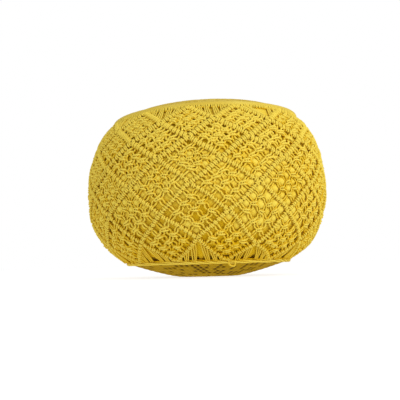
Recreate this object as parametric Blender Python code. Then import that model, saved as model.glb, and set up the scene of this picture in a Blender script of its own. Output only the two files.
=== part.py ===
"""Round ottoman: a filled ball of a cushion inside a knotted cord net.

The net is a lattice of diamonds laid over the turned side. A rim cord runs round each end
of it, and a dense knit disc closes each end: the crown disc on top and the base disc below.

A place on the net is a pair of counts. The turn counts diamonds round the ottoman, and the
ring counts half diamonds down it, from the top rim at 0 to the base rim at 7. The crests of
the lattice are the lines where half the ring plus the turn, or half the ring minus the turn,
is a whole number.
"""

import math

import bmesh
import bpy
import numpy as np

# Driving dimensions, in metres, with angles in degrees
DIAMONDS_ROUND = 12
DIAMOND_ROWS = 6
NET_THICKNESS = 0.005
CREST_HEIGHT = 0.004
CROSSING_HEIGHT = 0.005
FAN_RIB_HEIGHT = 0.0025
FAN_VALLEY_HEIGHT = -0.0005
RIM_CORD_RADIUS = 0.0055
RIM_CORD_DEPTH = 0.001
DISC_THICKNESS = 0.005
CROWN_HEIGHT = 0.365
CROWN_EDGE_ANGLE = 26.0
BASE_EDGE_ANGLE = 19.0
FOOT_RADIUS = 0.060
CUSHION_CLEARANCE = 0.0013
GAP = 0.0003

# The side of the net from its top edge to its bottom edge, one row for each ring
SIDE_RINGS = np.array([
    # height, radius
    (0.329, 0.1985),
    (0.299, 0.2240),
    (0.264, 0.2400),
    (0.223, 0.2500),
    (0.176, 0.2535),
    (0.123, 0.2470),
    (0.070, 0.2200),
    (0.034, 0.1770),
])
LAST_RING = len(SIDE_RINGS) - 1
WIDEST_RADIUS = SIDE_RINGS[:, 1].max()

# Where the two gaps along a diamond's side start and end, as shares of that side
GAP_START = 0.125
GAP_END = 0.43
SIDE_STOPS = (0.0, GAP_START, GAP_END, 1 - GAP_END, 1 - GAP_START, 1.0)
GAP_CELLS = (1, 3)
FAN_SLIT_START = 0.6

# The filling has settled unevenly: the +X side stands taller by this share at the widest radius
FILL_LEAN = 0.0195

# The knots were set by hand, so the lattice is turned and pulled sideways at the front right
FIRST_AZIMUTH = -37.4
DRIFT = 1.5
PULL_AT_TOP = -8.0
PULL_PER_RING = 1.45
PULL_AZIMUTH = 30.0
PULL_NARROWNESS = 3.5

# How finely the turned pieces are divided, and how far from a rim cord the cushion swells again
TURNED_STEPS = 48
CORD_SIDES = 8
SIDE_ROWS = 9
CROWN_SHARES = (0, 0.3, 0.55, 0.72, 0.87, 1)
BASE_SHARES = (1, 0.78, 0.56, 0.34, 0.15, 0)
DRAWN_IN = 0.35
NORMAL_STEP = 0.02

COLOURS = {
    # node: linear red, green, blue
    "inner_cushion": (0.82, 0.58, 0.06),
    "net_cover": (0.74, 0.50, 0.045),
    "crown_disc": (0.66, 0.43, 0.035),
    "base_disc": (0.50, 0.32, 0.025),
    "top_rim_cord": (0.76, 0.52, 0.05),
    "base_rim_cord": (0.76, 0.52, 0.05),
}
CLOTH_ROUGHNESS = 0.85


def clear_scene():
    for thing in list(bpy.data.objects):
        bpy.data.objects.remove(thing, do_unlink=True)


def side_curve(ring):
    """Height and radius of the net's face at a ring count: a Catmull-Rom curve through the rows."""
    first = int(np.clip(math.floor(ring), 0, LAST_RING - 1))
    share = ring - first
    start, end = SIDE_RINGS[first], SIDE_RINGS[first + 1]
    before = SIDE_RINGS[first - 1] if first > 0 else 2 * start - end
    after = SIDE_RINGS[first + 2] if first + 2 <= LAST_RING else 2 * end - start
    leaving = (end - before) / 2
    arriving = (after - start) / 2
    cube, square = share ** 3, share ** 2
    return ((2 * cube - 3 * square + 1) * start + (cube - 2 * square + share) * leaving
            + (3 * square - 2 * cube) * end + (cube - square) * arriving)


def side_tangent(ring):
    """Unit step down the side at a ring count, as height and radius."""
    step = side_curve(ring + NORMAL_STEP) - side_curve(ring - NORMAL_STEP)
    return step / np.linalg.norm(step)


def outward(tangent):
    """The direction out of the ottoman that is square to a step down its side."""
    return np.array([tangent[1], -tangent[0]])


def settle(height, x):
    """Height after the filling has settled towards -X."""
    return height * (1 + FILL_LEAN * x / WIDEST_RADIUS)


def net_azimuth(turn, ring):
    """Angle round the ottoman, in radians, of a turn count, pulled as the hand-set knots are."""
    even = math.radians(FIRST_AZIMUTH + turn * 360 / DIAMONDS_ROUND)
    near_pull = math.exp(PULL_NARROWNESS * (math.cos(even - math.radians(PULL_AZIMUTH)) - 1))
    pull = PULL_AT_TOP + PULL_PER_RING * ring
    return even + math.radians(DRIFT + pull * near_pull)


def net_point(turn, ring, proud):
    """A point that stands proud of the net's face, or below it if proud is negative."""
    height, radius = side_curve(ring) + proud * outward(side_tangent(ring))
    azimuth = net_azimuth(turn, ring)
    x = radius * math.sin(azimuth)
    y = -radius * math.cos(azimuth)
    return (x, y, settle(height, x))


def crest_height(first_count, second_count):
    """How proud a lattice corner stands: on no crest, on one crest or where two cross."""
    crests = (first_count == int(first_count)) + (second_count == int(second_count))
    return (0.0, CREST_HEIGHT, CROSSING_HEIGHT)[crests]


class Sheet:
    """Faces between net places, where a place that faces share is one corner."""

    def __init__(self):
        self.index = {}
        self.places = []
        self.faces = []

    def corner(self, turn, ring, proud):
        key = (round(turn * 1000) % (DIAMONDS_ROUND * 1000), round(ring * 1000))
        if key not in self.index:
            self.index[key] = len(self.places)
            self.places.append((turn, ring, proud))
        return self.index[key]

    def face(self, *corners):
        self.faces.append(tuple(corners))

    def edge_of_sheet(self):
        """Edges that only one face uses, in that face's order."""
        sides = [side for face in self.faces for side in zip(face, face[1:] + face[:1])]
        known = set(sides)
        return [side for side in sides if side[::-1] not in known]


def add_diamond(sheet, first_start, second_start):
    """One diamond of the lattice, cut through at its four gaps."""

    def corner(i, j):
        first = first_start + SIDE_STOPS[i]
        second = second_start + SIDE_STOPS[j]
        return sheet.corner((first - second) / 2, first + second, crest_height(first, second))

    for i in range(len(SIDE_STOPS) - 1):
        for j in range(len(SIDE_STOPS) - 1):
            if i in GAP_CELLS and j in GAP_CELLS:
                continue
            sheet.face(corner(i, j), corner(i, j + 1), corner(i + 1, j + 1), corner(i + 1, j))


def add_fan(sheet, apex_turn, apex_ring, way):
    """One triangle of straight cords from a crossing to the rim, which is way rings further."""

    def crest(side, stop):
        proud = CROSSING_HEIGHT if stop in (0.0, 1.0) else CREST_HEIGHT
        return sheet.corner(apex_turn + side * stop / 2, apex_ring + way * stop, proud)

    def cord(side, stop, down, proud):
        return sheet.corner(apex_turn + side * stop / 2, apex_ring + way * down, proud)

    def add(side, *corners):
        sheet.face(*(corners if side * way > 0 else reversed(corners)))

    first, second, third, fourth = SIDE_STOPS[1:5]
    for side in (-1, 1):
        slit_top = cord(side, first, FAN_SLIT_START, FAN_RIB_HEIGHT)
        slit_foot = cord(side, first, 1, FAN_RIB_HEIGHT)
        near_valley = cord(side, (first + second) / 2, 1, FAN_VALLEY_HEIGHT)
        near_rib = cord(side, second, 1, FAN_RIB_HEIGHT)
        mid_valley = cord(side, third, 1, FAN_VALLEY_HEIGHT)
        far_rib = cord(side, (third + fourth) / 2, 1, FAN_RIB_HEIGHT)
        far_valley = cord(side, fourth, 1, FAN_VALLEY_HEIGHT)
        add(side, crest(side, first), slit_top, crest(side, second))
        add(side, crest(side, second), slit_top, near_valley)
        add(side, slit_top, slit_foot, near_valley)
        add(side, crest(side, second), near_valley, near_rib)
        add(side, crest(side, second), near_rib, mid_valley, crest(side, third))
        add(side, crest(side, third), mid_valley, far_rib)
        add(side, crest(side, third), far_rib, crest(side, fourth))
        add(side, crest(side, fourth), far_rib, far_valley)
        add(side, crest(side, fourth), far_valley, crest(side, 1.0))
    left, right = (cord(side, first, FAN_SLIT_START, FAN_RIB_HEIGHT) for side in (-1, 1))
    left_foot, right_foot = (cord(side, first, 1, FAN_RIB_HEIGHT) for side in (-1, 1))
    add(1, crest(-1, 0.0), crest(-1, first), crest(1, first))
    add(1, crest(-1, first), left, right, crest(1, first))
    if way < 0:
        add(1, left, left_foot, right_foot, right)


def net_sheet():
    """The whole lattice: rows of diamonds, with a fan in each notch at the two rims."""
    sheet = Sheet()
    for row in range(DIAMOND_ROWS):
        for count in range(DIAMONDS_ROUND):
            add_diamond(sheet, count, row - count)
    for count in range(DIAMONDS_ROUND):
        add_fan(sheet, count + 0.5, 1, -1)
        add_fan(sheet, float(count), LAST_RING - 1, 1)
    return sheet


def add_object(name, mesh):
    """An object for one sub-part, with the sub-part's own matt cloth material."""
    material = bpy.data.materials.new(name + "_cloth")
    material.use_nodes = True
    shader = material.node_tree.nodes["Principled BSDF"]
    shader.inputs["Base Color"].default_value = (*COLOURS[name], 1.0)
    shader.inputs["Roughness"].default_value = CLOTH_ROUGHNESS
    shader.inputs["Metallic"].default_value = 0.0
    mesh.materials.append(material)
    thing = bpy.data.objects.new(name, mesh)
    bpy.context.scene.collection.objects.link(thing)
    return thing


def add_net_cover():
    """The sheet with its thickness: an outer face, an inner face and a wall along each edge."""
    sheet = net_sheet()
    outer = [net_point(*place) for place in sheet.places]
    inner = [net_point(turn, ring, -NET_THICKNESS) for turn, ring, proud in sheet.places]
    count = len(outer)
    faces = list(sheet.faces)
    faces += [tuple(corner + count for corner in reversed(face)) for face in sheet.faces]
    faces += [(end, start, start + count, end + count) for start, end in sheet.edge_of_sheet()]
    mesh = bpy.data.meshes.new("net_cover")
    mesh.from_pydata(outer + inner, [], faces)
    add_object("net_cover", mesh)


def add_turned(name, outline):
    """A piece turned about the upright axis from an outline of heights and radii."""
    shape = bmesh.new()
    corners = [shape.verts.new((radius, 0.0, height)) for height, radius in outline]
    sides = [shape.edges.new(pair) for pair in zip(corners, corners[1:])]
    if outline[0][1] > 0:
        sides.append(shape.edges.new((corners[-1], corners[0])))
    bmesh.ops.spin(shape, geom=corners + sides, axis=(0, 0, 1), cent=(0, 0, 0),
                   angle=math.tau, steps=TURNED_STEPS, use_duplicate=False)
    bmesh.ops.remove_doubles(shape, verts=shape.verts, dist=0.00001)
    for corner in shape.verts:
        corner.co.z = settle(corner.co.z, corner.co.x)
    bmesh.ops.recalc_face_normals(shape, faces=shape.faces)
    mesh = bpy.data.meshes.new(name)
    shape.to_mesh(mesh)
    shape.free()
    mesh.shade_smooth()
    add_object(name, mesh)


def inset(outline, depths):
    """An outline of heights and radii moved inwards, square to itself, by a depth at each point."""
    outline = np.array(outline)
    tangents = np.gradient(outline, axis=0)
    on_axis = outline[:, 1] == 0
    tangents[on_axis, 0] = 0
    tangents /= np.linalg.norm(tangents, axis=1, keepdims=True)
    outwards = np.column_stack([tangents[:, 1], -tangents[:, 0]])
    return outline - np.reshape(depths, (-1, 1)) * outwards


def rim_cord_centre(ring):
    """Centre of the rim cord that lies against the net's top edge or its bottom edge."""
    down = side_tangent(ring)
    away = down if ring == LAST_RING else -down
    reach = RIM_CORD_RADIUS + GAP
    return side_curve(ring) + reach * away - RIM_CORD_DEPTH * outward(down)


def add_rim_cord(name, ring):
    """A cord of round section; one flat of the section faces the net's edge."""
    centre = rim_cord_centre(ring)
    down = side_tangent(ring)
    corner_radius = RIM_CORD_RADIUS / math.cos(math.pi / CORD_SIDES)
    outline = []
    for side in range(CORD_SIDES):
        angle = math.tau * (side + 0.5) / CORD_SIDES
        outline.append(centre + corner_radius * (math.cos(angle) * down
                                                 + math.sin(angle) * outward(down)))
    add_turned(name, outline)


def disc_edge(ring, angle, up):
    """Outer corner of a disc's edge, on the far side of its rim cord from the net."""
    along = np.array([up * math.sin(math.radians(angle)), -math.cos(math.radians(angle))])
    out = np.array([up * math.cos(math.radians(angle)), math.sin(math.radians(angle))])
    reach = RIM_CORD_RADIUS / math.cos(math.pi / CORD_SIDES) + GAP
    return rim_cord_centre(ring) + reach * along + RIM_CORD_DEPTH * out


def crown_outline():
    """The crown from its centre to its edge: a flat dome that meets the edge at its angle."""
    edge_height, edge_radius = disc_edge(0, CROWN_EDGE_ANGLE, 1)
    rise = CROWN_HEIGHT - edge_height
    power = math.tan(math.radians(CROWN_EDGE_ANGLE)) * edge_radius / rise
    return [(edge_height + rise * (1 - share ** power), edge_radius * share)
            for share in CROWN_SHARES]


def base_outline():
    """The base from its edge to its centre: it curves down to a flat foot on the floor."""
    edge_height, edge_radius = disc_edge(LAST_RING, BASE_EDGE_ANGLE, -1)
    run = edge_radius - FOOT_RADIUS
    power = math.tan(math.radians(BASE_EDGE_ANGLE)) * run / edge_height
    curve = [(edge_height * share ** power, FOOT_RADIUS + run * share) for share in BASE_SHARES]
    return curve + [(0.0, 0.0)]


def add_disc(name, outline):
    """A dense knit disc: its outer outline and the same outline one thickness further in."""
    inner = inset(outline, [DISC_THICKNESS] * len(outline))[::-1]
    starts_on_axis = outline[0][1] == 0
    add_turned(name, [*outline, *inner] if starts_on_axis else [*inner, *outline])


def cushion_outline():
    """The ball of filling, just inside the net and discs and drawn in under the rim cords."""
    side = [side_curve(ring) for ring in np.linspace(DRAWN_IN, LAST_RING - DRAWN_IN, SIDE_ROWS)]
    crown = crown_outline()[:-1]
    base = base_outline()[1:]
    top_cord = rim_cord_centre(0)
    base_cord = rim_cord_centre(LAST_RING)
    outline = crown + [top_cord] + side + [base_cord] + base
    disc_depth = DISC_THICKNESS + CUSHION_CLEARANCE
    net_depth = NET_THICKNESS + CUSHION_CLEARANCE
    cord_depth = RIM_CORD_RADIUS + CUSHION_CLEARANCE
    depths = ([disc_depth] * len(crown) + [cord_depth] + [net_depth] * len(side)
              + [cord_depth] + [disc_depth] * len(base))
    return inset(outline, depths)


clear_scene()
add_turned("inner_cushion", cushion_outline())
add_net_cover()
add_rim_cord("top_rim_cord", 0)
add_rim_cord("base_rim_cord", LAST_RING)
add_disc("crown_disc", crown_outline())
add_disc("base_disc", base_outline())
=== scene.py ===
# %% [markdown]
# A macrame ottoman, cord by cord
#
# The real thing is a filled ball of smooth cloth in a net of knotted cotton cord. The net
# is a lattice of diamonds. Each diamond's sides are ridges of tight wraps, its inside is an
# open mesh of square knots, and a fan of straight cords fills each notch at the two rims.
# A photo texture could fake all this on a smooth ball, but it would look flat from the side
# and the gaps would hold no shade. Here every cord is a real tube, laid out in the net's own
# coordinates, so the gaps are open and the liner shows through them.
#
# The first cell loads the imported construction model. It fixes the sizes: what this script
# makes has to stay where those solids are.

# %% Load the frame
import math

import bpy
import numpy as np
from mathutils import Matrix, Vector


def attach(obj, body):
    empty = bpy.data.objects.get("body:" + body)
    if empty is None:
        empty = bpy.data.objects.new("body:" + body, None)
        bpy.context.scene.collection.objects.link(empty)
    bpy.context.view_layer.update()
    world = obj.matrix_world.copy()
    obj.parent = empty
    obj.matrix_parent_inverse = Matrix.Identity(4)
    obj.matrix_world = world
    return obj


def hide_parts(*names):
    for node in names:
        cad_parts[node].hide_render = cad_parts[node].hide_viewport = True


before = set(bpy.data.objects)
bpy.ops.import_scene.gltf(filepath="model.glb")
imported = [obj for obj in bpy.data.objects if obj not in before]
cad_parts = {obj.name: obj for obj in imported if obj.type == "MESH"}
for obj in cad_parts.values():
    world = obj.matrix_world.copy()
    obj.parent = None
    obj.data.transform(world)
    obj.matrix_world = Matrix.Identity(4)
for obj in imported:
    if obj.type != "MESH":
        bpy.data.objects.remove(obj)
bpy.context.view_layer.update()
print("construction solids:", sorted(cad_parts))

# %% [markdown]
# The net's own coordinates
#
# A place on the net is a turn, which counts diamonds round the ottoman, and a ring, which
# counts half diamonds down it, from 0 at the top rim to 7 at the base rim. Working in turns
# and rings makes a cord's route a straight line, however the side curves. One function then
# lays any such place on the ottoman. It could be done with a Curve modifier or with
# projected curves, but a plain formula moves a million points at once.
#
# The table gives the side's height and radius at each ring. A smooth curve joins the rows: a
# cubic between each two rows, whose slopes come from the rows beside them.

# %% The side of the ottoman
MM = 0.001
DIAMONDS_ROUND = 12
DIAMOND_ROWS = 6
SIDE_RINGS = np.array([
    # height, radius
    (0.329, 0.1985),
    (0.299, 0.2240),
    (0.264, 0.2400),
    (0.223, 0.2500),
    (0.176, 0.2535),
    (0.123, 0.2470),
    (0.070, 0.2200),
    (0.034, 0.1770),
])
LAST_RING = len(SIDE_RINGS) - 1
WIDEST_RADIUS = SIDE_RINGS[:, 1].max()
ROW_BEFORE = 2 * SIDE_RINGS[:1] - SIDE_RINGS[1:2]
ROW_AFTER = 2 * SIDE_RINGS[-1:] - SIDE_RINGS[-2:-1]
ROWS = np.vstack([ROW_BEFORE, SIDE_RINGS, ROW_AFTER])
RING_STEP = 0.02


def side_curve(ring):
    """Height and radius at each ring count, by the cubic between the two nearest rows."""
    ring = np.asarray(ring, float)
    first = np.clip(np.floor(ring), 0, LAST_RING - 1).astype(int)
    share = (ring - first)[..., None]
    before, start, end, after = (ROWS[first + step] for step in range(4))
    leaving, arriving = (end - before) / 2, (after - start) / 2
    cube, square = share ** 3, share ** 2
    return ((2 * cube - 3 * square + 1) * start + (cube - 2 * square + share) * leaving
            + (3 * square - 2 * cube) * end + (cube - square) * arriving)


def side_outward(ring):
    """Unit step out of the side, as height and radius: the slope turned by a right angle."""
    step = side_curve(np.asarray(ring) + RING_STEP) - side_curve(np.asarray(ring) - RING_STEP)
    step /= np.linalg.norm(step, axis=-1, keepdims=True)
    return np.stack([step[..., 1], -step[..., 0]], axis=-1)


print("side runs from", side_curve(0), "to", side_curve(LAST_RING))

# %% [markdown]
# The net was knotted by hand and pulled over a soft ball, so it isn't even. The lattice is
# turned a little, it is dragged sideways at the front right, and the filling has settled so
# that one side stands slightly taller. The same few numbers shape the solids. On top of that,
# every row wanders by a few millimetres. That wandering is a sum of sines with whole counts
# round the ottoman, so that it closes, and it fades at the rims, where the cords are tied.
# Two fans at the front are pulled up or down a little further.

# %% Places on the net
FIRST_AZIMUTH = -37.4
DRIFT = 1.5
PULL_AT_TOP = -8.0
PULL_PER_RING = 1.45
PULL_AZIMUTH = 30.0
PULL_NARROWNESS = 3.5
FILL_LEAN = 0.0195
WANDER_TURN = 0.014
WANDER_RING = 0.042
WAVES_ASIDE = (
    # waves round, radians more for each ring, phase, strength
    (5, 2.1, 0.0, 1.0),
    (13, -3.7, 1.0, 0.7),
)
WAVES_DOWN = (
    # waves round, radians more for each ring, phase, strength
    (7, -1.6, 2.0, 1.0),
    (17, 4.3, 0.0, 0.7),
)
FAN_PULLS = (
    # turn and ring of a fan's point, and how far it is pulled down, in rings
    (1.0, 6.0, -0.13),
    (2.0, 6.0, 0.16),
)
FAN_PULL_WIDTH = 0.32
FAN_PULL_HEIGHT = 0.7


def wander(waves, around, ring):
    """The sum of a table's sine waves at an angle round the ottoman and a ring."""
    return sum(strength * np.sin(count * around + per_ring * ring + phase)
               for count, per_ring, phase, strength in waves)


def hand_set(turn, ring):
    """Turn and ring after the small wandering of rows that were knotted by hand. How free a row
    is to wander is a parabola over the rings: 0 at the rims and 1 half-way."""
    turn, ring = np.broadcast_arrays(np.asarray(turn, float), np.asarray(ring, float))
    around = turn * math.tau / DIAMONDS_ROUND
    free = 4 * ring * (LAST_RING - ring) / LAST_RING ** 2
    moved = WANDER_RING * wander(WAVES_DOWN, around, ring)
    for fan_turn, fan_ring, pull in FAN_PULLS:
        beside = (turn - fan_turn + DIAMONDS_ROUND / 2) % DIAMONDS_ROUND - DIAMONDS_ROUND / 2
        # a fan's point is only half as free as the middle, so its pull is doubled
        moved = moved + 2 * pull * np.exp(-(beside / FAN_PULL_WIDTH) ** 2
                                          - ((ring - fan_ring) / FAN_PULL_HEIGHT) ** 2)
    return turn + WANDER_TURN * wander(WAVES_ASIDE, around, ring), ring + free * moved


def net_azimuth(turn, ring):
    """Angle round the ottoman: an even share of a full turn, plus the pull of the knots."""
    even = np.radians(FIRST_AZIMUTH + np.asarray(turn) * 360 / DIAMONDS_ROUND)
    near_pull = np.exp(PULL_NARROWNESS * (np.cos(even - math.radians(PULL_AZIMUTH)) - 1))
    return even + np.radians(DRIFT + (PULL_AT_TOP + PULL_PER_RING * np.asarray(ring)) * near_pull)


def turned(height, radius, azimuth):
    """Upright cylinder coordinates to points, with the settled lean in the height."""
    x = radius * np.sin(azimuth)
    y = -radius * np.cos(azimuth)
    return np.stack([x, y, height * (1 + FILL_LEAN * x / WIDEST_RADIUS)], axis=-1)


def on_net(turn, ring, proud):
    """Points that stand proud of the net's face at places given in turns and rings."""
    turn, ring = hand_set(turn, ring)
    turn, ring, proud = np.broadcast_arrays(turn, ring, proud)
    shape = side_curve(ring) + proud[..., None] * side_outward(ring)
    return turned(shape[..., 0], shape[..., 1], net_azimuth(turn, ring))


def net_outward(turn, ring):
    """Unit vectors straight out of the net's face."""
    turn, ring = hand_set(turn, ring)
    out = side_outward(ring)
    azimuth = net_azimuth(turn, ring)
    return np.stack([out[..., 1] * np.sin(azimuth), -out[..., 1] * np.cos(azimuth), out[..., 0]],
                    axis=-1)


def unit(vectors):
    """Vectors scaled to a length of 1. A tiny least length keeps the division safe."""
    return vectors / np.maximum(np.linalg.norm(vectors, axis=-1, keepdims=True), 1e-12)


front = on_net(0.0, 4.0, 0.0)
print("a crossing on ring 4 lies at", np.round(front, 4))

# %% [markdown]
# How deep a point lies, for painted shade
#
# Light that reaches the bottom of a gap has bounced from cord to cord, and every bounce takes
# more of the blue out of it, so the shade deep in the net is golden. That shade is painted into
# the colour: each point of the cords and the liner carries its depth under the net's face as a
# number, and the materials paint it deeper and more golden the deeper it lies. The flanks of a
# cord see mostly the next cord, so they get a little more of that painted shade than its top.

# %% Depth under the face
PROUDEST = 3.0 * MM
DEEPEST = 7.0 * MM
PAST_RIM = 0.4
FACE_RINGS = np.linspace(LAST_RING + PAST_RIM, -PAST_RIM, 120)
FACE_HEIGHTS = side_curve(FACE_RINGS)[:, 0]
# a cord's flanks get this much more painted shade, as if they lay deeper
FLANK_SHADE = 0.2


def face_ring(points):
    """Ring count of the net's face at the same height as each point."""
    height = points[:, 2] / (1 + FILL_LEAN * points[:, 0] / WIDEST_RADIUS)
    return np.interp(height, FACE_HEIGHTS, FACE_RINGS)


def sunk(points):
    """From 0 for the proudest points to 1 for those at the bottom of the gaps: the distance
    from the face at the same height, square to the face."""
    ring = face_ring(points)
    aside = side_curve(ring)[:, 1] - np.hypot(points[:, 0], points[:, 1])
    depth = aside * side_outward(ring)[:, 1]
    return np.clip((depth + PROUDEST) / (DEEPEST + PROUDEST), 0, 1)


def turned_away(points, normals):
    """From 0 where the skin looks straight out of the net to 1 where it looks along it."""
    out = side_outward(face_ring(points))
    azimuth = np.arctan2(points[:, 0], -points[:, 1])
    outward = np.stack([out[:, 1] * np.sin(azimuth), -out[:, 1] * np.cos(azimuth), out[:, 0]],
                       axis=-1)
    return np.clip(1 - (normals * outward).sum(axis=-1), 0, 1)


print("the face itself is sunk by", np.round(sunk(front[None, :]), 2))

# %% [markdown]
# From arrays to a mesh
#
# Every piece below is worked out as whole numpy arrays, and one helper puts such arrays into
# a Blender mesh. foreach_set copies a flat array straight in, which is far quicker than a
# loop over vertices. The UV map is given per face corner, because a seam needs two values at
# one point, and a named attribute can carry any other value, such as a cord's own shade.

# %% Mesh helpers
def add_object(name, data):
    """A new object of the scene, at the origin, with the mesh, lamp or camera that it shows."""
    thing = bpy.data.objects.new(name, data)
    bpy.context.scene.collection.objects.link(thing)
    return thing


def make_piece(name, points, quads, triangles=None, uv=None, **attributes):
    """A smooth-shaded object at the origin from arrays of points and of corner indices."""
    triangles = np.zeros((0, 3), int) if triangles is None else triangles
    mesh = bpy.data.meshes.new(name)
    mesh.vertices.add(len(points))
    mesh.vertices.foreach_set("co", np.asarray(points, np.float32).ravel())
    corners = np.concatenate([quads.ravel(), triangles.ravel()]).astype(np.int32)
    mesh.loops.add(len(corners))
    mesh.loops.foreach_set("vertex_index", corners)
    starts = np.concatenate([np.arange(len(quads)) * 4,
                             quads.size + np.arange(len(triangles)) * 3]).astype(np.int32)
    mesh.polygons.add(len(starts))
    mesh.polygons.foreach_set("loop_start", starts)
    if uv is not None:
        mesh.uv_layers.new(name="cloth_uv").data.foreach_set("uv", uv.astype(np.float32).ravel())
    for title, values in attributes.items():
        layer = mesh.attributes.new(title, "FLOAT", "POINT")
        layer.data.foreach_set("value", np.asarray(values, np.float32).ravel())
    mesh.update(calc_edges=True)
    mesh.validate()
    mesh.shade_smooth()
    print(f"{name}: {2 * len(quads) + len(triangles)} triangles")
    return add_object(name, mesh)


def grid_quads(rows, columns, close_columns=False, close_rows=False):
    """Corner indices of a grid of points: each face joins a point, the one below it, the one
    below and across, and the one across."""
    row = np.arange(rows if close_rows else rows - 1)[:, None]
    column = np.arange(columns if close_columns else columns - 1)[None, :]
    below, across = (row + 1) % rows, (column + 1) % columns
    return np.stack([row * columns + column, below * columns + column,
                     below * columns + across, row * columns + across], axis=-1).reshape(-1, 4)


print("a 3 by 3 grid has", len(grid_quads(3, 3)), "faces")

# %% [markdown]
# Many tubes at once
#
# A cord is a circle carried along a path. Blender's curve bevel does this well for one cord,
# but this net has thousands, so the circle is carried along all the paths in one array sum:
# point + radius x (cos a x across + sin a x over). Across is square to the path and to a
# guiding direction, such as straight out of the net, so the tubes never twist. Each end is
# closed by a small cone, because an open end would be a hole in the mesh.

# %% Tubes
TIP_LENGTH = 0.6  # in radii of the cord
SLOW_WAVES = 0.8
QUICK_WAVES = 2.3
SLOW_STRENGTH = 0.65


def tube_arrays(paths, radius, guide, sides):
    """Points, faces, UVs, cord numbers and normals of closed tubes along paths, which are an
    array of cords by points by 3. The UV runs once round the cord in U, and along it in
    metres in V."""
    cords, steps = paths.shape[:2]
    ahead = unit(np.gradient(paths, axis=1))
    across = unit(np.cross(ahead, np.broadcast_to(guide, paths.shape)))
    over = np.cross(across, ahead)
    radius = np.broadcast_to(radius, (cords, steps))[..., None, None]
    angle = (np.arange(sides) * math.tau / sides)[:, None]
    away = np.cos(angle) * across[:, :, None] + np.sin(angle) * over[:, :, None]
    rings = paths[:, :, None] + radius * away
    tips = np.stack([paths[:, 0] - ahead[:, 0] * radius[:, 0, 0] * TIP_LENGTH,
                     paths[:, -1] + ahead[:, -1] * radius[:, -1, 0] * TIP_LENGTH], axis=1)
    points = np.concatenate([rings.reshape(-1, 3), tips.reshape(-1, 3)])
    one = grid_quads(steps, sides, close_columns=True)
    quads = (np.arange(cords)[:, None, None] * steps * sides + one).reshape(-1, 4)
    side = np.arange(sides)
    first_ring = np.arange(cords)[:, None] * steps * sides + side
    last_ring = first_ring + (steps - 1) * sides
    tip = len(rings.reshape(-1, 3)) + np.arange(cords)[:, None] * 2 + np.zeros_like(first_ring)
    caps = np.concatenate([
        np.stack([tip, first_ring, np.roll(first_ring, -1, axis=1)], -1).reshape(-1, 3),
        np.stack([tip + 1, np.roll(last_ring, -1, axis=1), last_ring], -1).reshape(-1, 3)])
    length = np.linalg.norm(np.diff(paths, axis=1), axis=-1).cumsum(axis=1)
    length = np.concatenate([np.zeros((cords, 1)), length], axis=1)
    v_here = np.repeat(length[:, :-1, None], sides, axis=2)
    v_next = np.repeat(length[:, 1:, None], sides, axis=2)
    u_here = np.broadcast_to(side / sides, v_here.shape)
    u_next = u_here + 1 / sides
    quad_uv = np.stack([u_here, v_here, u_here, v_next, u_next, v_next, u_next, v_here],
                       axis=-1).reshape(-1, 2)
    cap_v = np.concatenate([np.zeros(cords * sides), np.repeat(length[:, -1], sides)])
    cap_u = np.tile(side / sides, cords * 2)
    cap_uv = np.repeat(np.stack([cap_u, cap_v], axis=-1), 3, axis=0)
    number = np.concatenate([np.repeat(np.arange(cords), steps * sides),
                             np.repeat(np.arange(cords), 2)])
    normals = np.concatenate([away.reshape(-1, 3),
                              np.stack([-ahead[:, 0], ahead[:, -1]], axis=1).reshape(-1, 3)])
    return points, quads, caps, np.concatenate([quad_uv, cap_uv]), number, normals


def make_cords(name, groups, shade_seed):
    """One piece from several groups of cords, each (paths, radius, guide, sides).

    Each cord gets its own random shade from 0 to 1, kept in the attribute cord_shade, and
    each point its depth under the net's face, counted deeper on the flanks, in the attribute
    sunk, from which the material paints shade.
    """
    all_points, all_quads, all_caps, quad_uvs, cap_uvs, shades, depths = ([] for _ in range(7))
    chance = np.random.default_rng(shade_seed)
    offset = 0
    for paths, radius, guide, sides in groups:
        points, quads, caps, uv, number, normals = tube_arrays(paths, radius, guide, sides)
        all_points.append(points)
        all_quads.append(quads + offset)
        all_caps.append(caps + offset)
        quad_uvs.append(uv[:quads.size])
        cap_uvs.append(uv[quads.size:])
        shades.append(chance.random(len(paths))[number])
        depths.append(sunk(points) + FLANK_SHADE * turned_away(points, normals))
        offset += len(points)
    return make_piece(name, np.concatenate(all_points), np.concatenate(all_quads),
                      np.concatenate(all_caps), np.concatenate(quad_uvs + cap_uvs),
                      cord_shade=np.concatenate(shades), sunk=np.concatenate(depths))


def waver(chance, cords, share, size):
    """Small smooth wandering for each cord: two sine waves of random phase along its share."""
    phase = chance.random((2, cords, 1)) * math.tau
    slow = np.sin(math.tau * SLOW_WAVES * share + phase[0])
    quick = np.sin(math.tau * QUICK_WAVES * share + phase[1])
    return size * (SLOW_STRENGTH * slow + (1 - SLOW_STRENGTH) * quick)


def laid(turn, ring, proud, sideways):
    """Paths of cords that lie on the net, moved sideways square to their own direction.

    Returns the paths and the outward direction along them, which guides their tubes.
    """
    centre = on_net(turn, ring, proud)
    outward = net_outward(turn, ring)
    across = unit(np.cross(outward, np.gradient(centre, axis=1)))
    return centre + np.asarray(sideways)[..., None] * across, outward


print("each cord wavers in waves of", SLOW_WAVES, "and", QUICK_WAVES, "to its length")
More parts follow.
